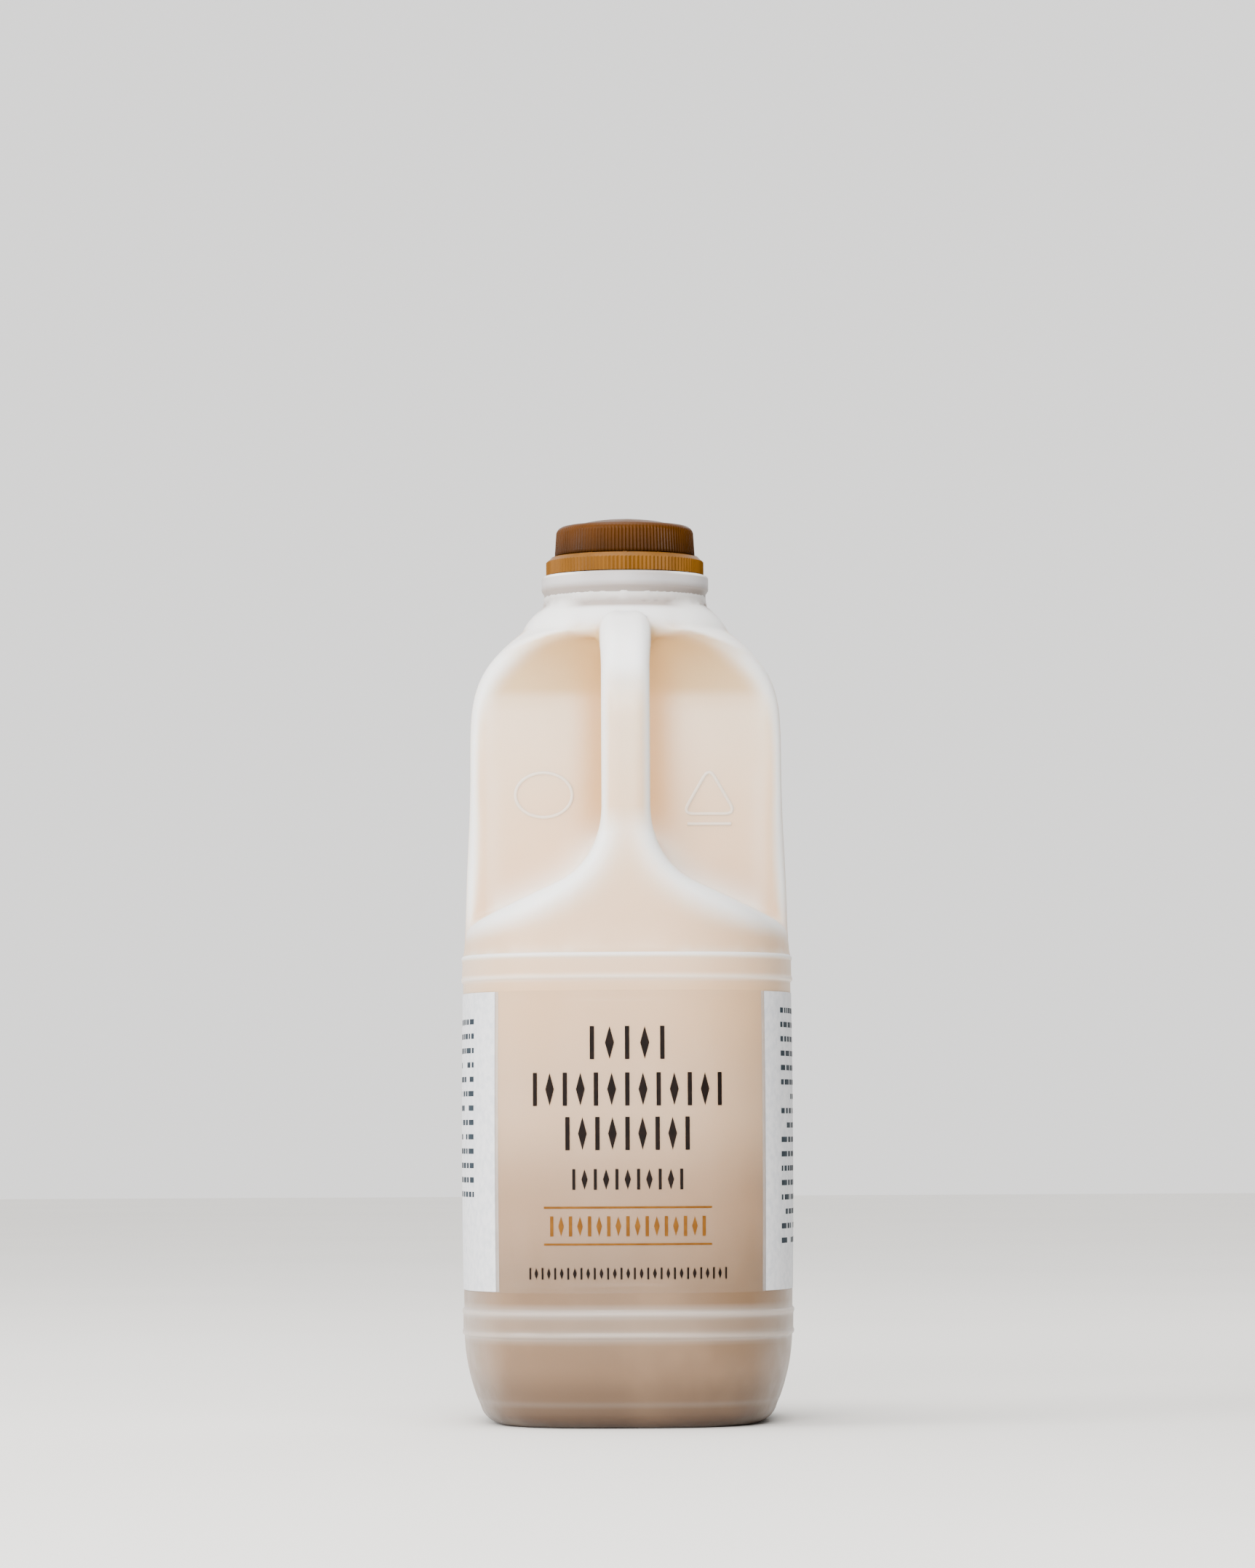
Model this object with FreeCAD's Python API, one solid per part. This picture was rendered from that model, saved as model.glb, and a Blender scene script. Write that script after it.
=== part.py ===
"""A two-litre blow-moulded milk bottle with a handle moulded into its narrow front.

Millimetres, +Z up, origin on the floor under the middle of the bottle, handle towards -Y.
The bottle stands filled with milk, with its ribbed cap, tamper band and clear wrap label.
"""

import FreeCAD
import Part
import math
import os

Vector = FreeCAD.Vector
Z_AXIS = Vector(0, 0, 1)

# ---- driving sizes -----------------------------------------------------------------------
BODY_WIDTH = 98.0            # across X at the widest part of the label panel
BODY_DEPTH = 126.0           # along Y at the same height, handle side to back
PLAN_POWER = 3.0             # squareness of the plan: 2 is an ellipse, more is squarer
WALL = 0.9                   # blown wall

HEEL_RADIUS = 4.0            # rounding between the base and the sides
HEEL_TAPER = 6.0             # how far the side has drawn in at the floor
PUSH_UP = 3.0                # hollow under the base
PUSH_UP_SLOPE = 14.0         # width of its sloping edge
FOOT_WIDTH = 12.0            # width of the ring that the bottle stands on, heel included

BAND_HEIGHT = 7.1            # the two raised bumper bands
BAND_PROUD = 0.6
PANEL_BOW = 0.45             # how far the full panel bulges between the bands
LOWER_BAND_Z = 26.4          # underside of the lower band
UPPER_BAND_Z = 130.2         # underside of the upper band
BAND_EDGE = 0.45             # rounding of a band's edges
UPPER_TAPER = 2.95           # how far the side has drawn in where the shoulder starts
TAPER_EASE = 1.5             # how gently that taper ends: 1 is straight

SHOULDER_Z = 208.0           # where the shoulder starts to close
CREASE_Z = 234.4             # where the shoulder meets the round dome
CREASE_RADIUS = 31.2
CREASE_STEP = 0.2            # how far the dome stands in from the crease
DOME_TOP_Z = 242.7
DOME_SWELL = 1.0             # how far the dome's middle stands out of its chord
NECK_RADIUS = 24.2
COLLAR_PROUD = 0.8           # how far the collar bead stands out of the neck
COLLAR_Z = 246.6             # underside of the collar bead
COLLAR_HEIGHT = 5.1
COLLAR_EDGE = 1.0            # slope at the bead's two edges

FINISH_RADIUS = 18.6         # the neck finish that the cap screws on to
FINISH_WALL = 1.6
FINISH_HEIGHT = 13.0         # from the top of the collar to the lip
TAMPER_BEAD = 2.6            # how far the bead under the tamper band stands out of the finish
TAMPER_BEAD_HEIGHT = 2.0
TAMPER_BEAD_LIFT = 1.2       # from the collar up to the bead's underside
TAMPER_BEAD_SLOPE = 0.8      # height of the slope over the bead
TAMPER_BEAD_LEAN = 0.6       # how much narrower the bead is at its top
FINISH_FOOT = 1.2            # how far inside the bead the finish's foot stands
LIP_EDGE = 0.5               # bevel of the lip

HANDLE_WIDTH = 15.0
HANDLE_THICKNESS = 19.0      # front to back
HANDLE_CROWN = 38.0          # rise of the handle's arched top above its straight part
HANDLE_ARCH_Z = 206.0        # where the handle starts to arch back to the neck
HANDLE_EDGE = 4.2            # rounding of the handle's front edges and of the pocket's rim
POCKET_WALL_Y = -17.0        # the wall behind the fingers
POCKET_WALL_TOP_Z = 214.0    # where that wall starts to lean forward to the dome
FLARE_Z = 178.2              # where the handle starts to spread into the body
FLARE_RADIUS = 22.0
FLOOR_SLOPE = 24.0           # degrees, the fall of the pocket floor towards the sides
GAP_TOP_Z = 226.0
GAP_TOP_RADIUS = 13.0
GAP_FLOOR_RADIUS = 7.0

MILK_LEVEL = 218.5
MILK_CLEARANCE = 0.1         # between the milk's solid and the wall

LABEL_FOOT_MARGIN = 5.7      # from the lower band up to the label
LABEL_TOP_MARGIN = 3.6       # from the label up to the upper band
LABEL_FILM = 0.15
LABEL_CLEARANCE = 0.1

CAP_CLEARANCE = 0.75         # between the skirt and the finish, where the thread is
CAP_HEIGHT = 9.0             # skirt's foot to the top's rim
CAP_TAPER = 0.5              # how much narrower the skirt is at the top
CAP_WALL = 1.3
CAP_EDGE = 2.4               # rounding of the cap's rim
CAP_CROWN = 2.2              # rise of the domed middle of the top
CAP_CROWN_RADIUS = 14.5
CAP_CROWN_EASE = 1.4         # how gently the domed middle starts
PLUG_DEPTH = 3.0             # how far the cap's inner ring reaches into the bore
CAP_RIBS = 120
CAP_RIB_DEPTH = 0.35
BAND_WALL = 1.75             # tamper band
BAND_SKIRT = 5.4             # its height
BAND_SHOULDER = 1.5          # height of its sloping top edge
BAND_TOP_OUT = 0.9           # how far its top edge stands out of the cap's foot
TONGUE_HEIGHT = 0.7          # the band's inner tongue over the bead
BAND_RIBS = 120
BAND_GAP = 0.3               # slit between cap and band, and between band and collar
BRIDGES = 12                 # breakable bridges across the slit
BRIDGE_WIDTH = 1.0
BRIDGE_THICKNESS = 1.0
SEAT_CLEARANCE = 0.3

# ---- worked out from them ----------------------------------------------------------------
HALF_WIDTH = BODY_WIDTH / 2
EXTRA_DEPTH = (BODY_DEPTH - BODY_WIDTH) / 2
SHOULDER_HALF = HALF_WIDTH - UPPER_TAPER
UPPER_BAND_TOP = UPPER_BAND_Z + BAND_HEIGHT
DOME_RADIUS = CREASE_RADIUS - CREASE_STEP
COLLAR_RADIUS = NECK_RADIUS + COLLAR_PROUD
COLLAR_TOP = COLLAR_Z + COLLAR_HEIGHT
LIP_Z = COLLAR_TOP + FINISH_HEIGHT
GAP_FLOOR_Z = FLARE_Z - GAP_FLOOR_RADIUS
BAND_Z = COLLAR_TOP + BAND_GAP
TAMPER_RADIUS = FINISH_RADIUS + TAMPER_BEAD
BAND_BORE = TAMPER_RADIUS + SEAT_CLEARANCE
BAND_RADIUS = BAND_BORE + BAND_WALL + CAP_RIB_DEPTH      # over the ribs
CAP_BORE = FINISH_RADIUS + CAP_CLEARANCE
CAP_RADIUS = CAP_BORE + CAP_WALL + CAP_RIB_DEPTH         # over the ribs, at the skirt's foot
BAND_TOP_Z = BAND_Z + BAND_SKIRT
CAP_FOOT_Z = BAND_TOP_Z + BAND_GAP
CAP_RIM_Z = CAP_FOOT_Z + CAP_HEIGHT
LABEL_Z = LOWER_BAND_Z + BAND_HEIGHT + LABEL_FOOT_MARGIN
LABEL_HEIGHT = UPPER_BAND_Z - LABEL_TOP_MARGIN - LABEL_Z
PLAN_POINTS = 48


# ---- the body's outline ------------------------------------------------------------------
def half_width(z):
    """Half the body's width at height z, up to the shoulder, before the heel is rounded."""
    panel = HALF_WIDTH - PANEL_BOW
    panel_low = LOWER_BAND_Z
    panel_high = UPPER_BAND_TOP
    if z < panel_low:
        return panel - HEEL_TAPER * ((panel_low - z) / panel_low) ** 2
    if z < panel_high:
        return panel + PANEL_BOW * math.sin(math.pi * (z - panel_low) / (panel_high - panel_low))
    left = max(0.0, (SHOULDER_Z - z) / (SHOULDER_Z - panel_high))
    return SHOULDER_HALF + (panel - SHOULDER_HALF) * left ** TAPER_EASE


def shoulder_half(z, start):
    """Half a width or depth in the shoulder, on an ellipse from `start` to the crease."""
    rise = (CREASE_Z - SHOULDER_Z) / math.sqrt(1 - (CREASE_RADIUS / start) ** 2)
    return start * math.sqrt(1 - ((z - SHOULDER_Z) / rise) ** 2)


def plan_size(z):
    """Half width, half depth and squareness of the plan at height z."""
    if z <= SHOULDER_Z:
        half = half_width(z)
        return half, half + EXTRA_DEPTH, PLAN_POWER
    closed = (z - SHOULDER_Z) / (CREASE_Z - SHOULDER_Z)
    power = PLAN_POWER + (2 - PLAN_POWER) * closed ** TAPER_EASE
    half = shoulder_half(z, SHOULDER_HALF)
    deep = shoulder_half(z, SHOULDER_HALF + EXTRA_DEPTH)
    return half, deep, power


def plan_wire(z, half, deep, power):
    """The bowed, round-cornered plan as one closed curve: |x/half|^p + |y/deep|^p = 1."""
    points = []
    for i in range(PLAN_POINTS):
        angle = 2 * math.pi * i / PLAN_POINTS
        across = abs(math.cos(angle) / half) ** power
        along = abs(math.sin(angle) / deep) ** power
        radius = (across + along) ** (-1 / power)
        points.append(Vector(radius * math.cos(angle), radius * math.sin(angle), z))
    curve = Part.BSplineCurve()
    curve.interpolate(Points=points, PeriodicFlag=True)
    return Part.Wire(curve.toShape())


def body_section(z, inset):
    half, deep, power = plan_size(z)
    return plan_wire(z, half - inset, deep - inset, power)


def body_ring(z0, z1, outset):
    """A slab of the body's plan between two heights, standing `outset` out of the side."""
    wires = [body_section(z, -outset) for z in (z0, z1)]
    return Part.makeLoft(wires, True, False)


def revolved(profile):
    """A solid of revolution about Z from (radius, height) points of a closed profile."""
    points = [Vector(r, 0, z) for r, z in profile]
    face = Part.Face(Part.makePolygon(points + points[:1]))
    return face.revolve(Vector(0, 0, 0), Z_AXIS, 360)


def lower_body(inset):
    """The body up to the top of the upper band, as a stack: heel, band, panel, band."""
    lower = side_loft(stations(inset, LOWER_BAND_Z + inset, 6), inset)
    rim = [e for e in lower.Edges if e.BoundBox.ZMax < inset + 0.01]
    body = lower.makeFillet(HEEL_RADIUS - inset, rim).cut(push_up(inset))
    stack = [bumper_band(LOWER_BAND_Z, inset), panel(inset), bumper_band(UPPER_BAND_Z, inset)]
    return body.multiFuse(stack)


def panel(inset):
    """The tall bowed panel between the bands, with the hollow's ends moved in by `inset`."""
    end = max(inset, 0.0)
    return side_loft(stations(LOWER_BAND_Z + BAND_HEIGHT - end, UPPER_BAND_Z + end, 4), inset)


def upper_blank(inset):
    """The body from the top of the upper band to the crease, before handle and pocket."""
    rise = CREASE_Z - SHOULDER_Z
    shoulder = [SHOULDER_Z + rise * math.sin(math.radians(a)) for a in (25, 45, 65, 90)]
    return side_loft(stations(UPPER_BAND_TOP - inset, SHOULDER_Z, 5) + shoulder, inset)


def stations(low, high, count):
    """Evenly spaced heights from low to high."""
    return [low + (high - low) * i / (count - 1) for i in range(count)]


def side_loft(heights, inset):
    wires = [body_section(z, inset) for z in heights]
    return Part.makeLoft(wires, True, False)


def bumper_band(z, inset):
    """A raised band round the body with softly rounded edges."""
    ring = body_ring(z + inset, z + BAND_HEIGHT - inset, BAND_PROUD - inset)
    rims = [e for e in ring.Edges if e.BoundBox.ZLength < 0.01]
    return ring.makeFillet(BAND_EDGE, rims)


def push_up(inset):
    """The hollow under the base, inside the ring that the bottle stands on."""
    half, deep, power = plan_size(0)
    edge = FOOT_WIDTH - inset
    part_in = edge + 0.36 * PUSH_UP_SLOPE
    far_in = edge + PUSH_UP_SLOPE
    low = plan_wire(-1, half - edge, deep - edge, power)
    rim = plan_wire(0, half - edge, deep - edge, power)
    mid = plan_wire(0.7 * PUSH_UP + inset, half - part_in, deep - part_in, power)
    top = plan_wire(PUSH_UP + inset, half - far_in, deep - far_in, power)
    skirt = Part.makeLoft([low, rim], True, True)
    crown = Part.makeLoft([rim, mid, top], True, True)
    return skirt.fuse(crown)


# ---- dome and neck -----------------------------------------------------------------------
def arc_points(centre, radii, start, end, count):
    """Points on an ellipse arc, as (radius, height), angles in degrees from horizontal."""
    points = []
    for i in range(count + 1):
        angle = math.radians(start + (end - start) * i / count)
        points.append((centre[0] + radii[0] * math.cos(angle),
                       centre[1] + radii[1] * math.sin(angle)))
    return points


def dome_and_neck(inset):
    """The round dome over the shoulder and the plain neck up to the collar bead."""
    rise = DOME_TOP_Z - CREASE_Z
    low = Vector(DOME_RADIUS - inset, 0, CREASE_Z)
    mid = Vector((DOME_RADIUS + NECK_RADIUS) / 2 + DOME_SWELL - inset, 0,
                 CREASE_Z + 0.56 * rise)
    top = Vector(NECK_RADIUS - inset, 0, DOME_TOP_Z - 0.4 * inset)
    foot = Vector(low.x, 0, CREASE_Z - 3)
    bead = COLLAR_RADIUS - inset
    bead_low = Vector(NECK_RADIUS - inset, 0, COLLAR_Z + 0.4 * inset)
    bead_side = Vector(bead, 0, COLLAR_Z + COLLAR_EDGE)
    bead_high = Vector(bead, 0, COLLAR_TOP - COLLAR_EDGE - 0.4 * inset)
    bead_top = Vector(bead - COLLAR_EDGE, 0, COLLAR_TOP - inset)
    closed_top = Vector(0, 0, COLLAR_TOP - inset)
    edges = [
        Part.makeLine(Vector(0, 0, foot.z), foot),
        Part.makeLine(foot, low),
        Part.Arc(low, mid, top).toShape(),
        Part.makeLine(top, bead_low),
        Part.makeLine(bead_low, bead_side),
        Part.makeLine(bead_side, bead_high),
        Part.makeLine(bead_high, bead_top),
        Part.makeLine(bead_top, closed_top),
        Part.makeLine(closed_top, Vector(0, 0, foot.z)),
    ]
    return Part.Face(Part.Wire(edges)).revolve(Vector(0, 0, 0), Z_AXIS, 360)


def neck_finish():
    """The open finish above the collar: a plain tube with the tamper bead round its foot."""
    bore = FINISH_RADIUS - FINISH_WALL
    foot = TAMPER_RADIUS - FINISH_FOOT
    bead_z = COLLAR_TOP + TAMPER_BEAD_LIFT
    bead_top = bead_z + TAMPER_BEAD_HEIGHT
    profile = [
        (bore, COLLAR_TOP - WALL),
        (foot, COLLAR_TOP - WALL),
        (foot, bead_z),
        (TAMPER_RADIUS, bead_z),
        (TAMPER_RADIUS - TAMPER_BEAD_LEAN, bead_top),
        (FINISH_RADIUS, bead_top + TAMPER_BEAD_SLOPE),
        (FINISH_RADIUS, LIP_Z - LIP_EDGE),
        (FINISH_RADIUS - LIP_EDGE, LIP_Z),
        (bore + LIP_EDGE, LIP_Z),
        (bore, LIP_Z - LIP_EDGE),
    ]
    return revolved(profile)


# ---- handle and finger pocket --------------------------------------------------------------
def side_prism(edges, reach):
    """A face drawn in the side view (Y, Z), extruded across the bottle to |x| = reach."""
    face = Part.Face(Part.Wire(edges))
    face.translate(Vector(-reach, 0, 0))
    return face.extrude(Vector(2 * reach, 0, 0))


def side_point(y, z):
    return Vector(0, y, z)


def middle_of(edge):
    return edge.valueAt((edge.FirstParameter + edge.LastParameter) / 2)


def front_y(z):
    """How far forward the middle of the front face is at height z, as a positive length."""
    return half_width(z) + EXTRA_DEPTH


def handle_bar(inset):
    """The handle from its flare up: a bar that arches back over the gap into the dome."""
    front = front_y(HANDLE_ARCH_Z) - inset
    crown = HANDLE_CROWN - inset

    def on_arch(degrees):
        across = math.cos(math.radians(degrees))
        return side_point(-front * across, HANDLE_ARCH_Z + crown * math.sqrt(1 - across ** 2))

    arch = Part.BSplineCurve()
    arch.interpolate(Points=[on_arch(a) for a in range(0, 73, 8)])
    end = on_arch(72)
    foot = side_point(-(front_y(FLARE_Z) - inset), FLARE_Z)
    gap_edges = gap_outline(inset)
    gap_start = gap_edges[0].Vertexes[0].Point
    gap_end = side_point(end.y, GAP_TOP_Z + inset)
    edges = [
        Part.makeLine(foot, on_arch(0)),
        arch.toShape(),
        Part.makeLine(end, gap_end),
        Part.makeLine(gap_end, gap_edges[-1].Vertexes[-1].Point),
    ]
    edges += gap_edges + [Part.makeLine(gap_start, foot)]
    half = HANDLE_WIDTH / 2 - inset
    bar = side_prism(Part.__sortEdges__(edges), half)
    long_edges = [e for e in bar.Edges if abs(abs(middle_of(e).x) - half) < 0.01
                  and middle_of(e).z > FLARE_Z + 0.1 and middle_of(e).y < end.y - 0.1]
    return bar.makeFillet(HANDLE_EDGE - inset, long_edges)


def gap_outline(inset):
    """The handle's back edge in the side view, from its foot up and round under the arch."""
    back = handle_back_y(inset)
    high = GAP_TOP_Z + inset
    radius = GAP_TOP_RADIUS + inset
    part_way = radius * (1 - math.cos(math.pi / 4))
    corner = side_point(back, high - radius)
    return [
        Part.makeLine(side_point(back, FLARE_Z), corner),
        Part.Arc(corner, side_point(back + part_way, high - part_way),
                 side_point(back + radius, high)).toShape(),
    ]


def handle_back_y(inset):
    return -(front_y(HANDLE_ARCH_Z) - HANDLE_THICKNESS) - inset


def pocket_space(inset):
    """All that lies in front of the pocket's wall and below the dome's rim."""
    wall = POCKET_WALL_Y + inset
    rim = side_point(-(CREASE_RADIUS - 0.6) + 0.3 * inset, CREASE_Z + inset)
    lean_z = POCKET_WALL_TOP_Z + 0.4 * inset
    lean = side_point(wall, lean_z)
    bend = side_point(wall - 0.34 * (wall - rim.y), lean_z + 0.62 * (rim.z - lean_z))
    far = -BODY_DEPTH
    deep = UPPER_BAND_TOP
    edges = [
        Part.makeLine(side_point(far, deep), side_point(far, rim.z)),
        Part.makeLine(side_point(far, rim.z), rim),
        Part.Arc(rim, bend, lean).toShape(),
        Part.makeLine(lean, side_point(wall, deep)),
        Part.makeLine(side_point(wall, deep), side_point(far, deep)),
    ]
    return side_prism(edges, BODY_WIDTH)


def beside_handle(inset):
    """The space beside the handle and over the tent-shaped pocket floor, on both sides."""
    side = HANDLE_WIDTH / 2 - inset
    radius = FLARE_RADIUS + inset
    centre_x = HANDLE_WIDTH / 2 + FLARE_RADIUS
    sweep = math.radians(90 - FLOOR_SLOPE)

    def on_flare(angle):
        return Vector(centre_x - radius * math.cos(angle), 0,
                      FLARE_Z - radius * math.sin(angle))

    run_out = BODY_WIDTH
    start = on_flare(0)
    end = on_flare(sweep)
    fall = math.tan(math.radians(FLOOR_SLOPE))
    outer_low = Vector(run_out, 0, end.z - (run_out - end.x) * fall)
    top = CREASE_Z + 20
    edges = [
        Part.makeLine(Vector(side, 0, top), start),
        Part.Arc(start, on_flare(sweep / 2), end).toShape(),
        Part.makeLine(end, outer_low),
        Part.makeLine(outer_low, Vector(run_out, 0, top)),
        Part.makeLine(Vector(run_out, 0, top), Vector(side, 0, top)),
    ]
    face = Part.Face(Part.Wire(edges))
    face.translate(Vector(0, -BODY_DEPTH, 0))
    right = face.extrude(Vector(0, 2 * BODY_DEPTH, 0))
    left = right.mirror(Vector(0, 0, 0), Vector(1, 0, 0))
    return right.fuse(left)


def gap_floor(inset):
    """What the finger gap takes off the ridge between the handle's foot and the wall."""
    back = handle_back_y(inset)
    low = GAP_FLOOR_Z - inset
    radius = GAP_FLOOR_RADIUS + inset
    part_way = radius * (1 - math.cos(math.pi / 4))
    edges = [
        Part.makeLine(side_point(0, low), side_point(back + radius, low)),
        Part.Arc(side_point(back + radius, low), side_point(back + part_way, low + part_way),
                 side_point(back, low + radius)).toShape(),
        Part.makeLine(side_point(back, low + radius), side_point(back, FLARE_Z + 1)),
        Part.makeLine(side_point(back, FLARE_Z + 1), side_point(0, FLARE_Z + 1)),
        Part.makeLine(side_point(0, FLARE_Z + 1), side_point(0, low)),
    ]
    return side_prism(edges, BODY_WIDTH)


def region(y0, y1, z0, z1):
    """A box right across the bottle between two depths and two heights."""
    return Part.makeBox(2 * BODY_WIDTH, y1 - y0, z1 - z0, Vector(-BODY_WIDTH, y0, z0))


def front_part(blank, inset):
    """The body in front of the pocket's wall, up to where the handle's flare ends."""
    column = blank.cut(beside_handle(inset))
    outline = [e for e in column.Edges if e.BoundBox.ZMin > UPPER_BAND_TOP + 0.5
               and e.BoundBox.ZMin < CREASE_Z - 0.5 and not isinstance(e.Curve, Part.Line)]
    column = column.makeFillet(HANDLE_EDGE - inset, outline)
    front = column.common(region(-BODY_DEPTH, POCKET_WALL_Y + inset, 0, FLARE_Z))
    return front.cut(gap_floor(inset))


def ceiling_part(blank, inset):
    """The body over the pocket, where its wall leans forward to the dome's rim."""
    over = blank.common(region(-BODY_DEPTH, POCKET_WALL_Y + inset,
                               POCKET_WALL_TOP_Z - 1, CREASE_Z + 1))
    return over.cut(pocket_space(inset))


def bottle_form(inset):
    """The closed outer form of the bottle, or the same form `inset` inside it."""
    blank = upper_blank(inset)
    rear = blank.common(region(POCKET_WALL_Y + inset, BODY_DEPTH, 0, CREASE_Z + 1))
    upper = rear.multiFuse([front_part(blank, inset), ceiling_part(blank, inset)])
    upper = upper.fuse(handle_bar(inset))
    return upper.fuse(dome_and_neck(inset)).fuse(lower_body(inset))


# ---- the separate pieces -------------------------------------------------------------------
def make_bottle():
    """The blown bottle: one skin inside the other, opened through the neck finish."""
    outer = bottle_form(0)
    inner = bottle_form(WALL)
    skins = Part.Compound([outer.Shells[0], inner.Shells[0].reversed()])
    bore = Part.makeCylinder(FINISH_RADIUS - FINISH_WALL, 4 * WALL,
                             Vector(0, 0, COLLAR_TOP - 3 * WALL))
    return Part.makeSolid(skins).cut(bore).fuse(neck_finish())


def make_milk():
    box = Part.makeBox(2 * BODY_WIDTH, 2 * BODY_DEPTH, MILK_LEVEL,
                       Vector(-BODY_WIDTH, -BODY_DEPTH, 0))
    return bottle_form(WALL + MILK_CLEARANCE).common(box)


def make_label():
    """The clear film wrapped round the panel between the two bands."""
    film = panel(-LABEL_CLEARANCE - LABEL_FILM).cut(panel(-LABEL_CLEARANCE))
    return film.common(region(-BODY_DEPTH, BODY_DEPTH, LABEL_Z, LABEL_Z + LABEL_HEIGHT))


def ribbed_prism(radius, depth, count, z0, height, top_shrink):
    """A prism with a fine-toothed outline, its teeth pointing outwards."""
    wires = []
    for z, shrink in ((z0, 0.0), (z0 + height, top_shrink)):
        points = []
        for i in range(2 * count):
            reach = radius - shrink - (depth if i % 2 else 0)
            angle = math.pi * i / count
            points.append(Vector(reach * math.cos(angle), reach * math.sin(angle), z))
        wires.append(Part.makePolygon(points + points[:1]))
    return Part.makeLoft(wires, True, True)


def make_cap():
    """The ribbed screw cap: skirt, rounded rim, domed middle and its inner plug ring."""
    skirt = ribbed_prism(CAP_RADIUS, CAP_RIB_DEPTH, CAP_RIBS, CAP_FOOT_Z,
                         CAP_HEIGHT + CAP_CROWN, CAP_TAPER)
    rim = CAP_RADIUS - CAP_TAPER * CAP_HEIGHT / (CAP_HEIGHT + CAP_CROWN)
    edge = arc_points((rim - CAP_EDGE, CAP_RIM_Z - CAP_EDGE), (CAP_EDGE, CAP_EDGE), 0, 90, 6)
    crown = []
    for a in range(0, 90, 10):
        climbed = math.sin(math.radians(a)) / math.sin(math.radians(80))
        crown.append((CAP_CROWN_RADIUS * math.cos(math.radians(a)),
                      CAP_RIM_Z + CAP_CROWN * climbed ** CAP_CROWN_EASE))
    outline = [(0, CAP_FOOT_Z), (CAP_RADIUS + 1, CAP_FOOT_Z), (CAP_RADIUS + 1, edge[0][1] - 0.6)]
    outline += edge + crown + [(0, CAP_RIM_Z + CAP_CROWN)]
    cap = skirt.common(revolved(outline))
    ceiling = CAP_RIM_Z - CAP_WALL
    hollow = Part.makeCylinder(CAP_BORE, ceiling - CAP_FOOT_Z, Vector(0, 0, CAP_FOOT_Z))
    plug_outer = FINISH_RADIUS - FINISH_WALL - SEAT_CLEARANCE
    plug_depth = ceiling - LIP_Z + PLUG_DEPTH
    plug = Part.makeCylinder(plug_outer, plug_depth, Vector(0, 0, ceiling - plug_depth))
    plug = plug.cut(Part.makeCylinder(plug_outer - CAP_WALL, plug_depth,
                                      Vector(0, 0, ceiling - plug_depth)))
    return cap.cut(hollow).fuse(plug)


def make_tamper_band():
    """The ribbed ring left on the neck, with the breakable bridges up to the cap."""
    top = BAND_TOP_Z
    ribs = ribbed_prism(BAND_RADIUS, CAP_RIB_DEPTH, BAND_RIBS, BAND_Z, BAND_SKIRT, 0.0)
    outline = [
        (BAND_BORE, BAND_Z),
        (BAND_RADIUS + 1, BAND_Z),
        (BAND_RADIUS + 1, top - BAND_SHOULDER - 1),
        (BAND_RADIUS, top - BAND_SHOULDER),
        (CAP_RADIUS + BAND_TOP_OUT, top),
        (BAND_BORE, top),
    ]
    ring = ribs.common(revolved(outline))
    tongue = FINISH_RADIUS + SEAT_CLEARANCE
    low = top - TONGUE_HEIGHT
    root = BAND_BORE + 0.3 * BAND_WALL
    lip = revolved([(tongue, low), (root, low), (root, top), (tongue, top)])
    ring = ring.fuse(lip)
    for i in range(BRIDGES):
        bridge = Part.makeBox(BRIDGE_THICKNESS, BRIDGE_WIDTH, BAND_GAP,
                              Vector(CAP_BORE + 0.1, -BRIDGE_WIDTH / 2, top))
        bridge.rotate(Vector(0, 0, 0), Z_AXIS, 360 * i / BRIDGES)
        ring = ring.fuse(bridge)
    return ring.removeSplitter()


def main():
    os.makedirs("parts", exist_ok=True)
    pieces = {
        "bottle": make_bottle(),
        "milk": make_milk(),
        "cap": make_cap(),
        "tamper_band": make_tamper_band(),
        "label_film": make_label(),
    }
    for name, shape in pieces.items():
        shape.exportStep("parts/%s.step" % name)
        box = shape.BoundBox
        print("%s: %d solid(s), valid %s, %.1f ml, x %.1f..%.1f y %.1f..%.1f z %.1f..%.1f"
              % (name, len(shape.Solids), shape.isValid(), shape.Volume / 1000, box.XMin,
                 box.XMax, box.YMin, box.YMax, box.ZMin, box.ZMax))


if __name__ == "__main__":
    main()
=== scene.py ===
"""Visual model of a two-litre plastic milk bottle, in the frame of its CAD model.

Sizes are in millimetres until a mesh is made, where they become metres. A span is a pair of
places in mm between which something fades in or out.
"""

import math
import random
import bmesh
import bpy
import numpy as np
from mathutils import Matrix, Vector


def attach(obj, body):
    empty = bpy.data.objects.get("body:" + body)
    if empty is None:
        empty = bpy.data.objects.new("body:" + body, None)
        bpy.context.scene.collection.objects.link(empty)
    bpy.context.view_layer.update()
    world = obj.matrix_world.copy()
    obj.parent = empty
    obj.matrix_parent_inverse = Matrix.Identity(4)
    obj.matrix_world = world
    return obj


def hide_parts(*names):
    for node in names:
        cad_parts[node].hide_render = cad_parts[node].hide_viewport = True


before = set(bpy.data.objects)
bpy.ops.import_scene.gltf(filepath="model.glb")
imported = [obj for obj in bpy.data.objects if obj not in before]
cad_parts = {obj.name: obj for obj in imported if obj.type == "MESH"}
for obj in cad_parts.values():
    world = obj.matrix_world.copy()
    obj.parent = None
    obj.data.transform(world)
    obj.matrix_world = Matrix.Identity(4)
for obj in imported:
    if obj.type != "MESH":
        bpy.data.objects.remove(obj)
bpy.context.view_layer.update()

MM = 0.001

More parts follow.
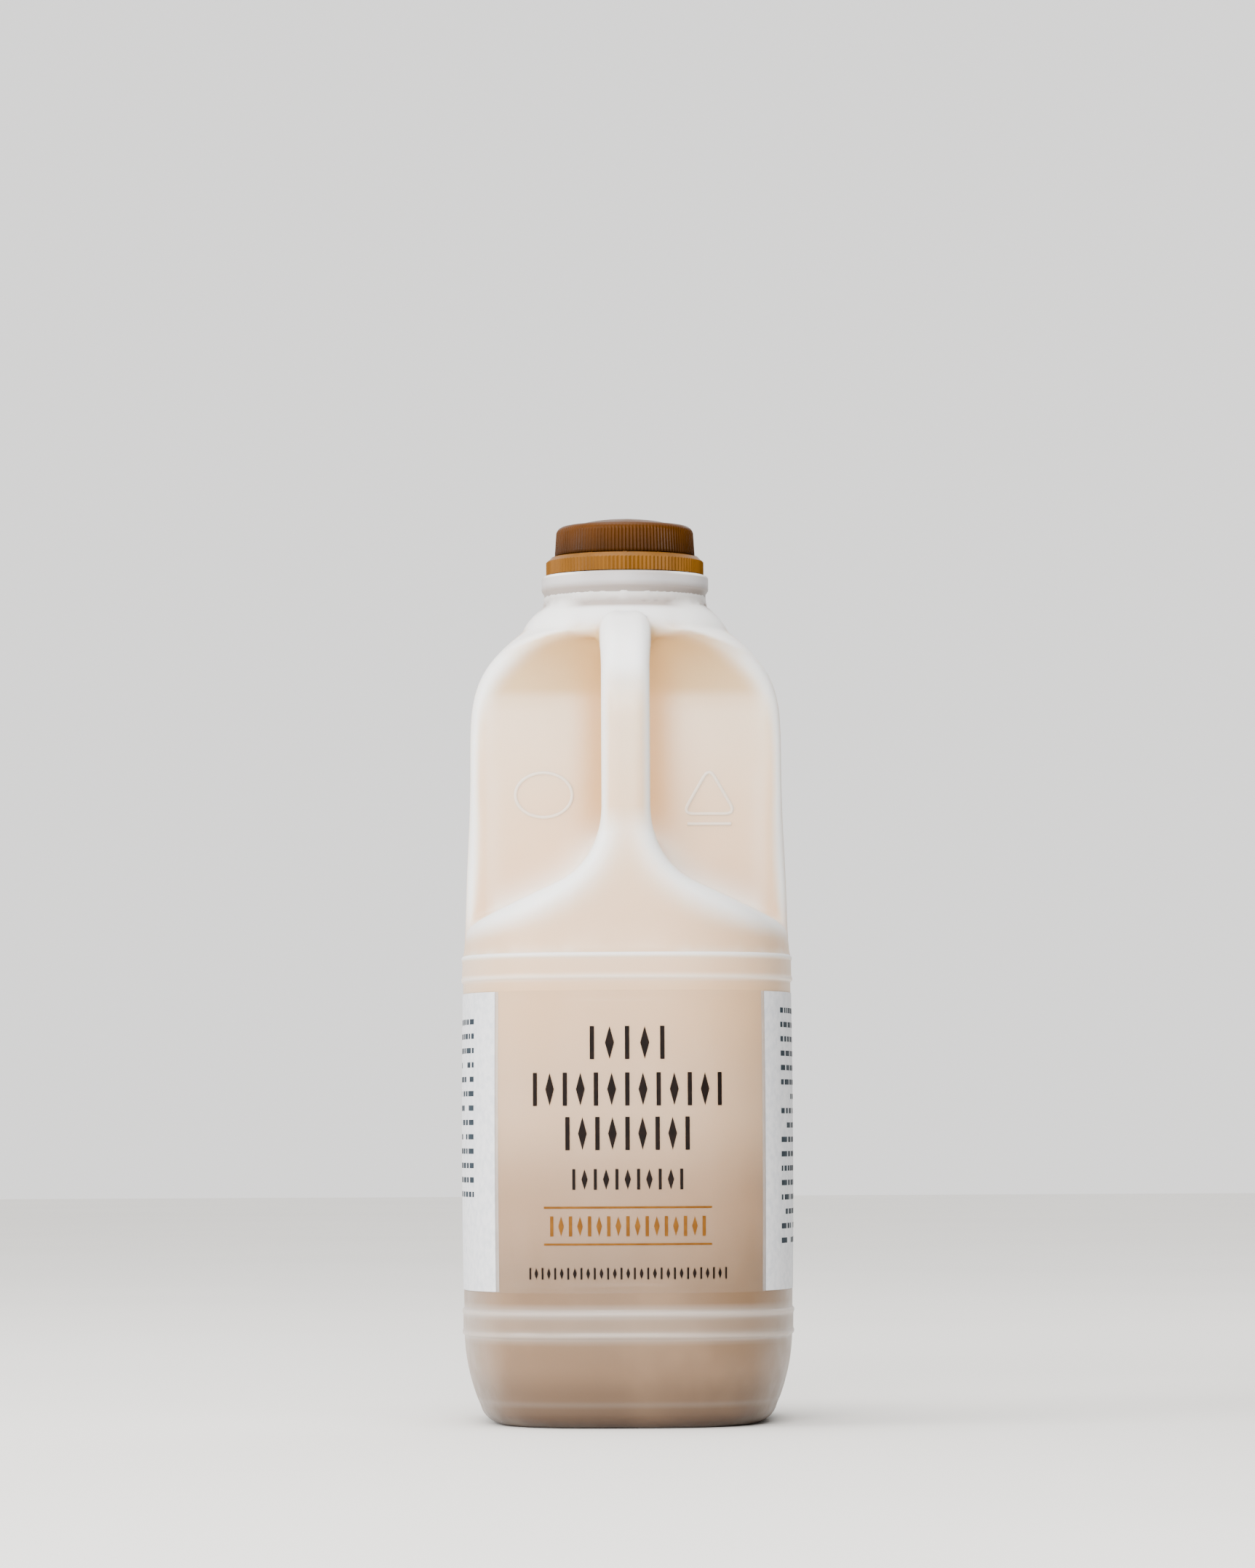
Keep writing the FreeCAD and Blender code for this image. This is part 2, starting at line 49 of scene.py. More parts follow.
# ---- the bottle's sizes, as in its CAD model ----------------------------------------------
HALF_WIDTH = 49.0            # half of the body's width at the label's middle
EXTRA_DEPTH = 14.0           # how much more than that its half depth is
PLAN_POWER = 3.0             # squareness of the plan: 2 is an ellipse, more is squarer
HEEL_RADIUS = 4.0            # rounding between the base and the sides
HEEL_TAPER = 6.0             # how far the side has drawn in at the floor
PUSH_UP = 3.0                # hollow under the base
PUSH_UP_SLOPE = 14.0         # width of its sloping edge
FOOT_WIDTH = 12.0            # width of the ring that the bottle stands on, heel included
BAND_HEIGHT = 7.1            # the two raised bumper bands
BAND_PROUD = 0.6
PANEL_BOW = 0.45             # how far the full panel bulges between the bands
LOWER_BAND_Z = 26.4          # underside of the lower band
UPPER_BAND_Z = 130.2         # underside of the upper band
UPPER_BAND_TOP = UPPER_BAND_Z + BAND_HEIGHT
UPPER_TAPER = 2.95           # how far the side has drawn in where the shoulder starts
TAPER_EASE = 1.5             # how gently that taper ends: 1 is straight
SHOULDER_Z = 208.0           # where the shoulder starts to close
CREASE_Z = 234.4             # where the shoulder meets the round dome
DOME_RADIUS = 31.0           # the dome at the crease
DOME_TOP_Z = 242.7
DOME_SWELL = 1.0             # how far the dome's middle stands out of its chord
NECK_RADIUS = 24.2
COLLAR_RADIUS = 25.0         # the bead round the neck
COLLAR_Z = 246.6             # its underside
COLLAR_TOP = 251.7
FINISH_RADIUS = 18.6         # the neck finish that the cap screws on to
FINISH_BORE = 17.0
LIP_Z = 264.7
MILK_LEVEL = 218.5
LABEL_Z = 39.2
LABEL_TOP = 126.6
LABEL_OUTSET = 0.25          # from the body's side to the label film's outer face
POCKET_WALL_Y = -17.0        # the wall behind the fingers
CAP_FOOT_Z = 257.7
CAP_RIM_Z = 266.7
CAP_TOP_Z = 268.9
CAP_RADIUS = 21.0            # over the ribs, at the skirt's foot
CAP_BORE = 19.35

# ---- sizes and counts of the visual model only ----------------------------------------------
VOXEL = 1.15                 # grid of the rounded upper body
SMOOTH_ROUNDS = 6            # rounds of smoothing on that grid
EDGE_RADIUS = 5.0            # the least rounding of the pocket's edges
RIDGE_RADIUS = 6.5           # and of the ridges beside the handle's foot
BEND_ROUNDS = 130            # rounds of rounding towards those radii
HEEL_SLIM = 0.9              # how much the heel draws in as the plastic cools
HEEL_SLIM_EASE = 1.3         # how gently that starts under the lower band
HANDLE_SLIM = 0.055          # how much narrower the handle is blown than its mould
PLAN_STEPS = 320             # points round the lower body
BEAD_REACH = 0.6             # how far a band's beads reach past its edges
FLAT_DEPTH = 0.26            # how far the flat between a band's two beads lies under them
PARTING_Z = 6.6              # the faint step where the base's mould met the side's
PARTING_DEPTH = 0.10
JOINT_OVERLAP = 0.6          # how far the shoulder's mesh reaches down behind the upper band
WALL_SINK = 0.45             # how far the milk reaches into the wall
MILK_HEEL_PULL = 1.15        # how much of the heel's drawing in the milk follows
MILK_FACES_KEPT = 0.25       # share of the milk's faces that stay when it is thinned out
FILM_INNER = 0.08            # the film's faces, out of the body's side
FILM_OUTER = 0.13
ON_FILM = -0.08              # the print's place, from LABEL_OUTSET
SOFT_EDGE = 1.6              # the width of the white panels' thin-printed edge

# ---- spans that place the handle and the white of the bends, in mm --------------------------
HANDLE_X = (8.0, 9.5)        # the handle's bar: from the middle out
HANDLE_FRONT = (36, 39)      # in front of the middle
HANDLE_Z = (172, 180)        # and up from its foot
HANDLE_TOP = (222, 232)      # where it stops being slimmer
ROUNDED_FROM = (140, 143)    # the heights between which the pocket's edges are rounded
ROUNDED_TO = (231.0, 233.5)
RIDGE_TO_EDGE = (178, 186)   # where RIDGE_RADIUS gives way to EDGE_RADIUS
RIDGE_FROM = (142, 148)      # the ridges' wider white
RIDGE_TO = (188, 196)
ARCH_FROM = (222, 227)       # the pocket's arched top, which stays less white
ARCH_TO = (232, 236)
ARCH_X = (24, 38)
SIDE_X = (38, 42)            # the body's sides, white only where they face sideways
SIDE_FROM = (140, 150)
SIDE_TO = (206, 216)
FLANK_FROM = (196, 212)      # the slopes over the pocket
FLANK_X = (12, 18)
FLANK_FRONT = (4, 12)


def half_width(z):
    """Half of the body's width at height z."""
    panel = HALF_WIDTH - PANEL_BOW
    if z < LOWER_BAND_Z:
        return panel - HEEL_TAPER * ((LOWER_BAND_Z - z) / LOWER_BAND_Z) ** 2
    if z < UPPER_BAND_TOP:
        rise = (z - LOWER_BAND_Z) / (UPPER_BAND_TOP - LOWER_BAND_Z)
        return panel + PANEL_BOW * math.sin(math.pi * rise)
    left = max(0.0, (SHOULDER_Z - z) / (SHOULDER_Z - UPPER_BAND_TOP))
    shoulder = HALF_WIDTH - UPPER_TAPER
    return shoulder + (panel - shoulder) * left ** TAPER_EASE


def plan_ring(z, outset, steps=PLAN_STEPS):
    """Points round the body's plan at height z, standing `outset` out of its side."""
    half = half_width(z) + outset
    deep = half + EXTRA_DEPTH
    angle = np.arange(steps) * (2 * math.pi / steps)
    across = np.abs(np.cos(angle) / half) ** PLAN_POWER
    along = np.abs(np.sin(angle) / deep) ** PLAN_POWER
    radius = (across + along) ** (-1 / PLAN_POWER)
    return np.stack([radius * np.cos(angle), radius * np.sin(angle), np.full(steps, z)], 1)


# ---- meshes ---------------------------------------------------------------------------------
def mesh_from(name, points, faces, material):
    """A piece of the object: points in mm, faces as index tuples. It rides on the root."""
    mesh = bpy.data.meshes.new(name)
    mesh.from_pydata((np.asarray(points) * MM).tolist(), [], [tuple(f) for f in faces])
    mesh.update()
    mesh.shade_smooth()
    obj = bpy.data.objects.new(name, mesh)
    bpy.context.collection.objects.link(obj)
    mesh.materials.append(material)
    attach(obj, "root")
    return obj


def ring_faces(rings, steps):
    """Quads between rings of `steps` points each, laid one after the other."""
    faces = []
    for i in range(rings - 1):
        low = i * steps
        for j in range(steps):
            k = (j + 1) % steps
            faces.append((low + j, low + k, low + steps + k, low + steps + j))
    return faces


def lathe(profile, steps, reach):
    """Rings round Z from (radius, z) pairs; reach(angles, i) moves ring i's points out."""
    angle = np.arange(steps) * (2 * math.pi / steps)
    rings = []
    for i, (radius, z) in enumerate(profile):
        r = radius + reach(angle, i)
        rings.append(np.stack([r * np.cos(angle), r * np.sin(angle), np.full(steps, z)], 1))
    return np.concatenate(rings), ring_faces(len(profile), steps)


def arc(centre_r, centre_z, radius, start, end, count):
    """(radius, z) pairs along a quarter or part circle, angles in degrees."""
    pairs = []
    for i in range(count + 1):
        a = math.radians(start + (end - start) * i / count)
        pairs.append((centre_r + radius * math.cos(a), centre_z + radius * math.sin(a)))
    return pairs


def edge_pairs(mesh):
    pairs = np.empty(len(mesh.edges) * 2, dtype=np.int64)
    mesh.edges.foreach_get("vertices", pairs)
    return pairs.reshape(-1, 2)


def get_points(mesh):
    points = np.empty(len(mesh.vertices) * 3)
    mesh.vertices.foreach_get("co", points)
    return points.reshape(-1, 3)


def set_points(mesh, points):
    mesh.vertices.foreach_set("co", points.ravel())
    mesh.update()


def get_normals(mesh):
    normals = np.empty(len(mesh.vertices) * 3)
    mesh.vertex_normals.foreach_get("vector", normals)
    return normals.reshape(-1, 3)


def neighbour_mean(values, pairs, count):
    """The mean of each vertex's neighbours' values."""
    columns = values.reshape(count, -1)
    total = np.zeros_like(columns)
    for c in range(columns.shape[1]):
        total[:, c] = (np.bincount(pairs[:, 0], columns[pairs[:, 1], c], count)
                       + np.bincount(pairs[:, 1], columns[pairs[:, 0], c], count))
    degree = np.bincount(pairs.ravel(), minlength=count).clip(1)
    return (total / degree[:, None]).reshape(values.shape)


def even_out(mesh, rounds, shrink=0.5, swell=-0.52):
    """Rounds the sharp edges of a dense mesh without shrinking it."""
    points = get_points(mesh)
    pairs = edge_pairs(mesh)
    for _ in range(rounds):
        for step in (shrink, swell):
            points += step * (neighbour_mean(points, pairs, len(points)) - points)
    set_points(mesh, points)


def mean_edge_length(points, pairs):
    """The mean length of the edges at each vertex."""
    count = len(points)
    length = np.linalg.norm(points[pairs[:, 0]] - points[pairs[:, 1]], axis=1)
    total = np.bincount(pairs.ravel(), np.repeat(length, 2), count)
    return total / np.bincount(pairs.ravel(), minlength=count).clip(1)


def bend_of(points, normals, pairs, size):
    """The way from each vertex to its neighbours' mean, and how the surface bends there.

    The bend is a quarter of the sum of the two curvatures, per mm; convex is positive."""
    pull = neighbour_mean(points, pairs, len(points)) - points
    return pull, -(pull * normals).sum(1) / np.maximum(size, 1e-6) ** 2 * MM


def spread(values, pairs, rounds, share=0.6):
    """Evens values out over the mesh: each round takes `share` from the neighbours."""
    for _ in range(rounds):
        values = (1 - share) * values + share * neighbour_mean(values, pairs, len(values))
    return values


def limit_bend(mesh, limit, weight, rounds, refresh=6, pace=0.6):
    """Rounds convex edges until they bend no more than limit, as far as weight says."""
    points = get_points(mesh)
    pairs = edge_pairs(mesh)
    for i in range(rounds):
        if i % refresh == 0:
            set_points(mesh, points)
            normals = get_normals(mesh)
            size = mean_edge_length(points, pairs)
        pull, bend = bend_of(points, normals, pairs, size)
        bend = spread(bend, pairs, 2, 0.5)
        share = np.clip(bend / limit - 1, 0, 1) * weight
        share = neighbour_mean(share, pairs, len(points))
        points += pace * share[:, None] * pull
    set_points(mesh, points)


def store_edge(mesh, edge):
    """Keeps how white the plastic shows at each vertex, from thick plastic and painted
    highlight, 0 to 1, as the attribute `edge`.
    """
    layer = mesh.attributes.new("edge", "FLOAT", "POINT")
    layer.data.foreach_set("value", np.clip(edge, 0, 1))


def ramp_up(value, low, high):
    """0 below low, 1 above high, and a straight climb between them."""
    return np.clip((value - low) / (high - low), 0, 1)


def ramp_down(value, low, high):
    """1 below low, 0 above high, and a straight fall between them."""
    return ramp_up(-value, -high, -low)


def on_handle(points):
    """1 on the handle's bar, 0 away from it."""
    x, y, z = np.abs(points[:, 0]), points[:, 1], points[:, 2]
    return ramp_down(x, *HANDLE_X) * ramp_up(-y, *HANDLE_FRONT) * ramp_up(z, *HANDLE_Z)


def mark_edges(mesh, low, high, rounds=5, spread_rounds=0):
    """Stores where a bend in the plastic shows white, partly thick plastic and partly painted
    highlight: from bend low on, in full at high.
    """
    points = get_points(mesh)
    pairs = edge_pairs(mesh)
    normals = get_normals(mesh)
    bend = bend_of(points, normals, pairs, mean_edge_length(points, pairs))[1]
    bend = spread(bend, pairs, rounds, 0.5)
    edge = spread(ramp_up(bend, low, high), pairs, spread_rounds)
    points = points / MM
    across, z = np.abs(points[:, 0]), points[:, 2]
    turned = np.abs(normals[:, 0])
    # the ridges beside the handle's foot: a wide painted highlight, and one in the hollow at
    # their foot
    ridge = ramp_down(z, *RIDGE_TO) * ramp_up(z, *RIDGE_FROM)
    hollow = 0.9 * spread(ramp_up(-bend, low, high), pairs, 30)
    wide = np.clip(1.3 * spread(edge, pairs, 16) + hollow, 0, 1)
    edge = edge + (np.maximum(wide, edge) - edge) * ridge
    # the pocket's arched top stays less white
    arch = ramp_up(z, *ARCH_FROM) * ramp_down(z, *ARCH_TO) * ramp_down(across, *ARCH_X)
    edge *= 1 - 0.85 * arch
    # so do the body's sides, but where they face sideways, which keep a painted highlight
    side = ramp_up(across, *SIDE_X) * ramp_up(z, *SIDE_FROM) * ramp_down(z, *SIDE_TO)
    edge *= 1 - side * (1 - ramp_up(turned, 0.15, 0.65))
    # painted light: the slopes over the pocket face up and are painted white as if lit from
    # above
    flank = (ramp_up(normals[:, 2], 0.05, 0.35) * ramp_up(z, *FLANK_FROM)
             * ramp_up(across, *FLANK_X) * ramp_up(-points[:, 1], *FLANK_FRONT))
    edge = np.maximum(edge, 0.9 * spread(flank, pairs, 3))
    # painted highlight: the handle is white where it turns away from the front, less where it
    # has turned fully
    limb = ramp_up(turned, 0.45, 0.9) * (1 - 0.45 * ramp_up(turned, 0.95, 1.0))
    limb = spread(limb, pairs, 1)
    store_edge(mesh, edge + (limb - edge) * on_handle(points))


# ---- materials ------------------------------------------------------------------------------
def linear(red, green, blue):
    """A screen colour, 0 to 255, as the linear colour that shaders take."""
    out = []
    for value in (red, green, blue):
        v = value / 255
        out.append(v / 12.92 if v <= 0.04045 else ((v + 0.055) / 1.055) ** 2.4)
    return (*out, 1.0)


class Nodes:
    """Short names for building a material's nodes."""

    def __init__(self, name):
        self.material = bpy.data.materials.new(name)
        self.material.use_nodes = True
        self.tree = self.material.node_tree
        self.shader = self.tree.nodes["Principled BSDF"]
        self.place = self.tree.nodes.new("ShaderNodeTexCoord").outputs["Object"]
        self.axes = None

    def link(self, value, socket):
        """Sets a socket to a number or colour, or links another node's output to it."""
        if hasattr(value, "is_linked"):
            self.tree.links.new(value, socket)
        else:
            socket.default_value = value

    def axis(self, name):
        if self.axes is None:
            self.axes = self.tree.nodes.new("ShaderNodeSeparateXYZ")
            self.tree.links.new(self.place, self.axes.inputs[0])
        return self.axes.outputs[name]

    def math(self, kind, a, b=0.0):
        node = self.tree.nodes.new("ShaderNodeMath")
        node.operation = kind
        for value, socket in zip((a, b), node.inputs):
            self.link(value, socket)
        return node.outputs[0]

    def step(self, value, low, high, to_low=0.0, to_high=1.0):
        """A soft step from to_low to to_high as value goes from low to high."""
        node = self.tree.nodes.new("ShaderNodeMapRange")
        node.interpolation_type = "SMOOTHSTEP"
        for data, socket in zip((value, low, high, to_low, to_high), node.inputs):
            self.link(data, socket)
        return node.outputs[0]

    def mask(self, spans, strength=1.0):
        """The product of soft steps over spans in mm along the axes; X counts both ways."""
        product = strength
        for axis, pairs in spans.items():
            value = self.axis(axis)
            if axis == "X":
                value = self.math("ABSOLUTE", value)
            for low, high in pairs:
                product = self.math("MULTIPLY", self.step(value, low * MM, high * MM), product)
        return product

    def noise(self, scale, detail=2.0, stretch=None):
        node = self.tree.nodes.new("ShaderNodeTexNoise")
        node.inputs["Scale"].default_value = scale
        node.inputs["Detail"].default_value = detail
        source = self.place
        if stretch:
            mapping = self.tree.nodes.new("ShaderNodeMapping")
            mapping.inputs["Scale"].default_value = stretch
            self.tree.links.new(source, mapping.inputs[0])
            source = mapping.outputs[0]
        self.tree.links.new(source, node.inputs["Vector"])
        return node.outputs[0]

    def mix(self, amount, a, b):
        """Colour a, going over to colour b as the amount goes from 0 to 1."""
        node = self.tree.nodes.new("ShaderNodeMix")
        node.data_type = "RGBA"
        amount_in, a_in, b_in, colour_out = 0, 6, 7, 2      # the node's sockets for colours
        self.link(amount, node.inputs[amount_in])
        self.link(a, node.inputs[a_in])
        self.link(b, node.inputs[b_in])
        return node.outputs[colour_out]

    def ramp(self, value, stops):
        """A colour by value, eased between stops of (place from 0 to 1, colour)."""
        node = self.tree.nodes.new("ShaderNodeValToRGB")
        node.color_ramp.interpolation = "EASE"
        points = node.color_ramp.elements
        while len(points) < len(stops):
            points.new(0.5)
        for point, (place, colour) in zip(points, stops):
            point.position = place
            point.color = colour
        self.link(value, node.inputs[0])
        return node.outputs[0]

    def attribute(self, name):
        node = self.tree.nodes.new("ShaderNodeAttribute")
        node.attribute_name = name
        return node.outputs["Fac"]

    def bump(self, height, strength, distance):
        node = self.tree.nodes.new("ShaderNodeBump")
        node.inputs["Strength"].default_value = strength
        node.inputs["Distance"].default_value = distance
        self.link(height, node.inputs["Height"])
        self.tree.links.new(node.outputs[0], self.shader.inputs["Normal"])

    def set(self, **sockets):
        """Sets or links the shader's sockets and gives the finished material."""
        for name, value in sockets.items():
            self.link(value, self.shader.inputs[name.replace("_", " ")])
        return self.material


RAMP_HEIGHT = 270.0          # the height in mm that the bottle's colour ramp covers
HEIGHT_TONES_AND_SHADE = (             # height in mm, and the plastic's colour there, painted darker and browner towards the floor as shade
    (0, (72, 52, 36)),
    (9, (98, 74, 52)),
    (18, (118, 91, 66)),
    (29, (119, 92, 65)),
    (42, (120, 92, 65)),
    (64, (152, 119, 88)),
    (95, (200, 168, 136)),
    (124, (216, 178, 138)),
    (142, (226, 190, 154)),
    (175, (232, 199, 163)),
    (209, (237, 212, 183)),
    (213.5, (232, 205, 172)),        # the milk's level
    # painted shade: the tan of warm surroundings seen through the empty plastic over the milk
    (217.5, (217, 183, 136)),
    (232.5, (211, 174, 124)),
    (237.5, (226, 222, 220)),        # the dome
    (240.0, (222, 219, 218)),
    (241.6, (158, 144, 136)),        # the neck
    (246.8, (148, 137, 130)),
    (249.2, (184, 181, 183)),        # the collar, with a painted highlight on its upper half
    (251.5, (172, 167, 166)),
)
CLOUD_TONE = (196, 160, 124)         # faint clouds where the wall is uneven
HANDLE_SHADE_TONE = (216, 168, 112)  # painted shade and warm reflection, amber, beside and behind the handle
HANDLE_SHADE = {"X": ((18.5, 8.5), (4.0, 7.0)), "Y": ((-34, -20), (-4, -12)),
                "Z": ((160, 185), (236, 222))}
AIR_TONE = (196, 153, 88)            # painted shade: amber of the warm surroundings seen through the empty plastic over the milk
AIR_SHADE = {"Z": ((213, 219), (236, 230)), "X": ((36, 8),)}
RIM_TONE = (230, 228, 228)           # the dome's lower rim at the front
RIM = {"Z": ((234, 240), (241.5, 239.8)), "Y": ((-19, -24),)}
CROWN_TONE = (252, 251, 250)         # the handle's arched top
CROWN = {"Y": ((-30, -36),), "X": ((10, 7),), "Z": ((206, 224),)}
EDGE_TONE = (250, 249, 247)          # bends, white where the plastic is thick, and painted highlight
# painted shade: between these heights the cap goes from dark at its foot to pale at its rim
CAP_SHADE_Z = (257.5, 266.5)
CREAM_FROM_Z = (200, 218.5)


def bottle_plastic():
    """Natural blown polythene with milk behind it, and air behind it over the milk, with
    painted shade and painted highlights in its colour.
    """
    n = Nodes("blown_polythene")
    height = n.math("DIVIDE", n.axis("Z"), RAMP_HEIGHT * MM)
    body = n.ramp(height, [(z / RAMP_HEIGHT, linear(*tone)) for z, tone in HEIGHT_TONES_AND_SHADE])
    cloud = n.step(n.noise(38.0, 3.0), 0.45, 0.75, 0.0, 0.10)
    # random clouds, then painted shade and warm reflection beside the handle, painted shade
    # over the milk, the white rim and crown, and bends white from thick plastic and painted
    # highlight
    for amount, tone in ((cloud, CLOUD_TONE),
                         (n.mask(HANDLE_SHADE, 0.95), HANDLE_SHADE_TONE),
                         (n.mask(AIR_SHADE, 0.5), AIR_TONE),
                         (n.mask(RIM), RIM_TONE),
                         (n.mask(CROWN), CROWN_TONE),
                         (n.attribute("edge"), EDGE_TONE)):
        body = n.mix(amount, body, linear(*tone))
    grain = n.noise(900.0, 2.0)
    swell = n.noise(70.0, 2.0)
    n.bump(n.math("ADD", n.math("MULTIPLY", grain, 0.25), swell), 0.22, 0.0006)
    rough = n.step(n.noise(160.0, 3.0), 0.3, 0.7, 0.36, 0.48)
    return n.set(Base_Color=body, Roughness=rough, Subsurface_Weight=0.35,
                 Subsurface_Radius=(1.0, 0.75, 0.55), Subsurface_Scale=0.004,
                 Coat_Weight=0.12, Coat_Roughness=0.25)


def cap_plastic(name, dark, pale):
    """Copper-brown moulded plastic, rubbed along its ribs, with painted shade darker towards
    its foot.
    """
    n = Nodes(name)
    streak = n.noise(260.0, 3.0, (1.0, 1.0, 0.15))
    # painted shade: the cap darker towards its foot
    tone = n.mask({"Z": (CAP_SHADE_Z,)}, 0.8)
    tone = n.math("ADD", tone, n.step(streak, 0.35, 0.7, 0.0, 0.2))
    colour = n.mix(tone, linear(*dark), linear(*pale))
    n.bump(n.noise(1400.0, 2.0), 0.10, 0.0003)
    return n.set(Base_Color=colour, Roughness=n.step(streak, 0.3, 0.7, 0.28, 0.40),
                 Specular_IOR_Level=0.08)


def milk_material():
    """Milk, a little creamier at its level."""
    n = Nodes("milk")
    cream = n.mask({"Z": (CREAM_FROM_Z,)})
    return n.set(Base_Color=n.mix(cream, linear(244, 238, 226), linear(247, 240, 224)),
                 Roughness=0.25, Subsurface_Weight=0.4, Subsurface_Radius=(1.0, 0.9, 0.7),
                 Subsurface_Scale=0.003)


def film_material():
    """Thin clear film: a little gloss over what is under it."""
    n = Nodes("clear_film")
    waves = n.noise(45.0, 2.0, (1.0, 1.0, 0.4))
    n.bump(waves, 0.15, 0.0006)
    return n.set(Base_Color=n.mix(n.step(waves, 0.3, 0.7), linear(206, 184, 164),
                                  linear(186, 160, 136)),
                 Roughness=n.step(waves, 0.35, 0.65, 0.16, 0.26), Alpha=0.07,
                 Coat_Weight=0.3, Coat_Roughness=0.08)


def ink(name, colour, second, roughness=0.6, alpha=1.0):
    """Printing ink that wavers a little between two near colours."""
    n = Nodes(name)
    tone = n.step(n.noise(420.0, 3.0), 0.35, 0.7)
    return n.set(Base_Color=n.mix(tone, linear(*colour), linear(*second)), Roughness=roughness,
                 Specular_IOR_Level=0.1, Alpha=alpha)


# ---- the blown bottle -----------------------------------------------------------------------
def outer_skin():
    """The CAD bottle's outer skin below the collar as one closed, evenly gridded mesh."""
    weld_distance = 0.002 * MM
    bm = bmesh.new()
    bm.from_mesh(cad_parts["bottle"].data)
    bmesh.ops.remove_doubles(bm, verts=bm.verts, dist=weld_distance)
    over = [f for f in bm.faces if f.calc_center_median().z > (COLLAR_Z - 0.6) * MM]
    bmesh.ops.delete(bm, geom=over, context="FACES")
    bm.verts.ensure_lookup_table()
    # the cut parts outer from inner skin, and the outer one holds the lowest point
    lowest = min((v for v in bm.verts if v.link_faces), key=lambda v: v.co.z)
    seen = {lowest}
    front = [lowest]
    while front:
        vert = front.pop()
        for edge in vert.link_edges:
            other = edge.other_vert(vert)
            if other not in seen:
                seen.add(other)
                front.append(other)
    bmesh.ops.delete(bm, geom=[v for v in bm.verts if v not in seen], context="VERTS")
    bmesh.ops.holes_fill(bm, edges=[e for e in bm.edges if e.is_boundary], sides=0)
    mesh = bpy.data.meshes.new("skin")
    bm.to_mesh(mesh)
    bm.free()
    obj = bpy.data.objects.new("skin_source", mesh)
    bpy.context.collection.objects.link(obj)
    remesh = obj.modifiers.new("grid", "REMESH")
    remesh.mode = "VOXEL"
    remesh.voxel_size = VOXEL * MM
    depsgraph = bpy.context.evaluated_depsgraph_get()
    even = bpy.data.meshes.new_from_object(obj.evaluated_get(depsgraph))
    bpy.data.objects.remove(obj)
    even_out(even, SMOOTH_ROUNDS)
    soften(even)
    return even


def soften(mesh):
    """Rounds the pocket's edges as blowing leaves them, and leaves dome and handle crisp."""
    points = get_points(mesh) / MM
    z = points[:, 2]
    weight = (ramp_down(z, *ROUNDED_TO) * (1 - on_handle(points)) * ramp_up(z, *ROUNDED_FROM))
    radius = RIDGE_RADIUS + (EDGE_RADIUS - RIDGE_RADIUS) * ramp_up(z, *RIDGE_TO_EDGE)
    limit_bend(mesh, 0.25 / radius, weight, BEND_ROUNDS)     # an edge's bend is 1 / (4 radius)
    points = get_points(mesh) / MM
    z = points[:, 2]
    points[:, 0] *= 1 - HANDLE_SLIM * on_handle(points) * ramp_down(z, *HANDLE_TOP)
    # the dome goes back to its own profile
    rise = np.clip((z - CREASE_Z) / (DOME_TOP_Z - CREASE_Z), 0, 1)
    radius = (DOME_RADIUS + (NECK_RADIUS - DOME_RADIUS) * rise
              + 4 * DOME_SWELL * rise * (1 - rise))
    now = np.hypot(points[:, 0], points[:, 1])
    pull = ramp_up(z, CREASE_Z - 0.2, CREASE_Z + 0.5) * (np.abs(now - radius) < 1.5)
    pull *= z < DOME_TOP_Z
    points[:, :2] *= (1 + pull * (radius / now - 1))[:, None]
    set_points(mesh, points * MM)


def cut_mesh(mesh, z, keep_above, fill):
    """Cuts a mesh level at height z, keeps one part, and may close the cut with a face."""
    bm = bmesh.new()
    bm.from_mesh(mesh)
    cut = bmesh.ops.bisect_plane(bm, geom=bm.verts[:] + bm.edges[:] + bm.faces[:],
                                 plane_co=(0, 0, z * MM), plane_no=(0, 0, 1),
                                 clear_inner=keep_above, clear_outer=not keep_above)
    if fill:
        rim = [e for e in cut["geom_cut"] if isinstance(e, bmesh.types.BMEdge)]
        bmesh.ops.contextual_create(bm, geom=rim)
    bm.to_mesh(mesh)
    bm.free()
    mesh.update()


def piece_from(name, mesh, material):
    """A piece of the object from a finished mesh. It rides on the root."""
    mesh.materials.clear()
    mesh.materials.append(material)
    mesh.shade_smooth()
    obj = bpy.data.objects.new(name, mesh)
    bpy.context.collection.objects.link(obj)
    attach(obj, "root")
    return obj


def soft(low, high, value):
    """A soft step, 0 at low and 1 at high."""
    s = min(1.0, max(0.0, (value - low) / (high - low)))
    return s * s * (3 - 2 * s)


def bead(t):
    """How far a bumper band stands out at t mm above its foot: two beads and a flat."""
    t = min(t, BAND_HEIGHT - t)
    crest = BAND_PROUD - 0.02
    return crest * soft(-BEAD_REACH, 0.2, t) - FLAT_DEPTH * soft(0.6, 1.5, t)


def heel_draw(z):
    """How far the heel draws in at height z."""
    return HEEL_SLIM * np.clip(1 - z / LOWER_BAND_Z, 0, 1) ** HEEL_SLIM_EASE


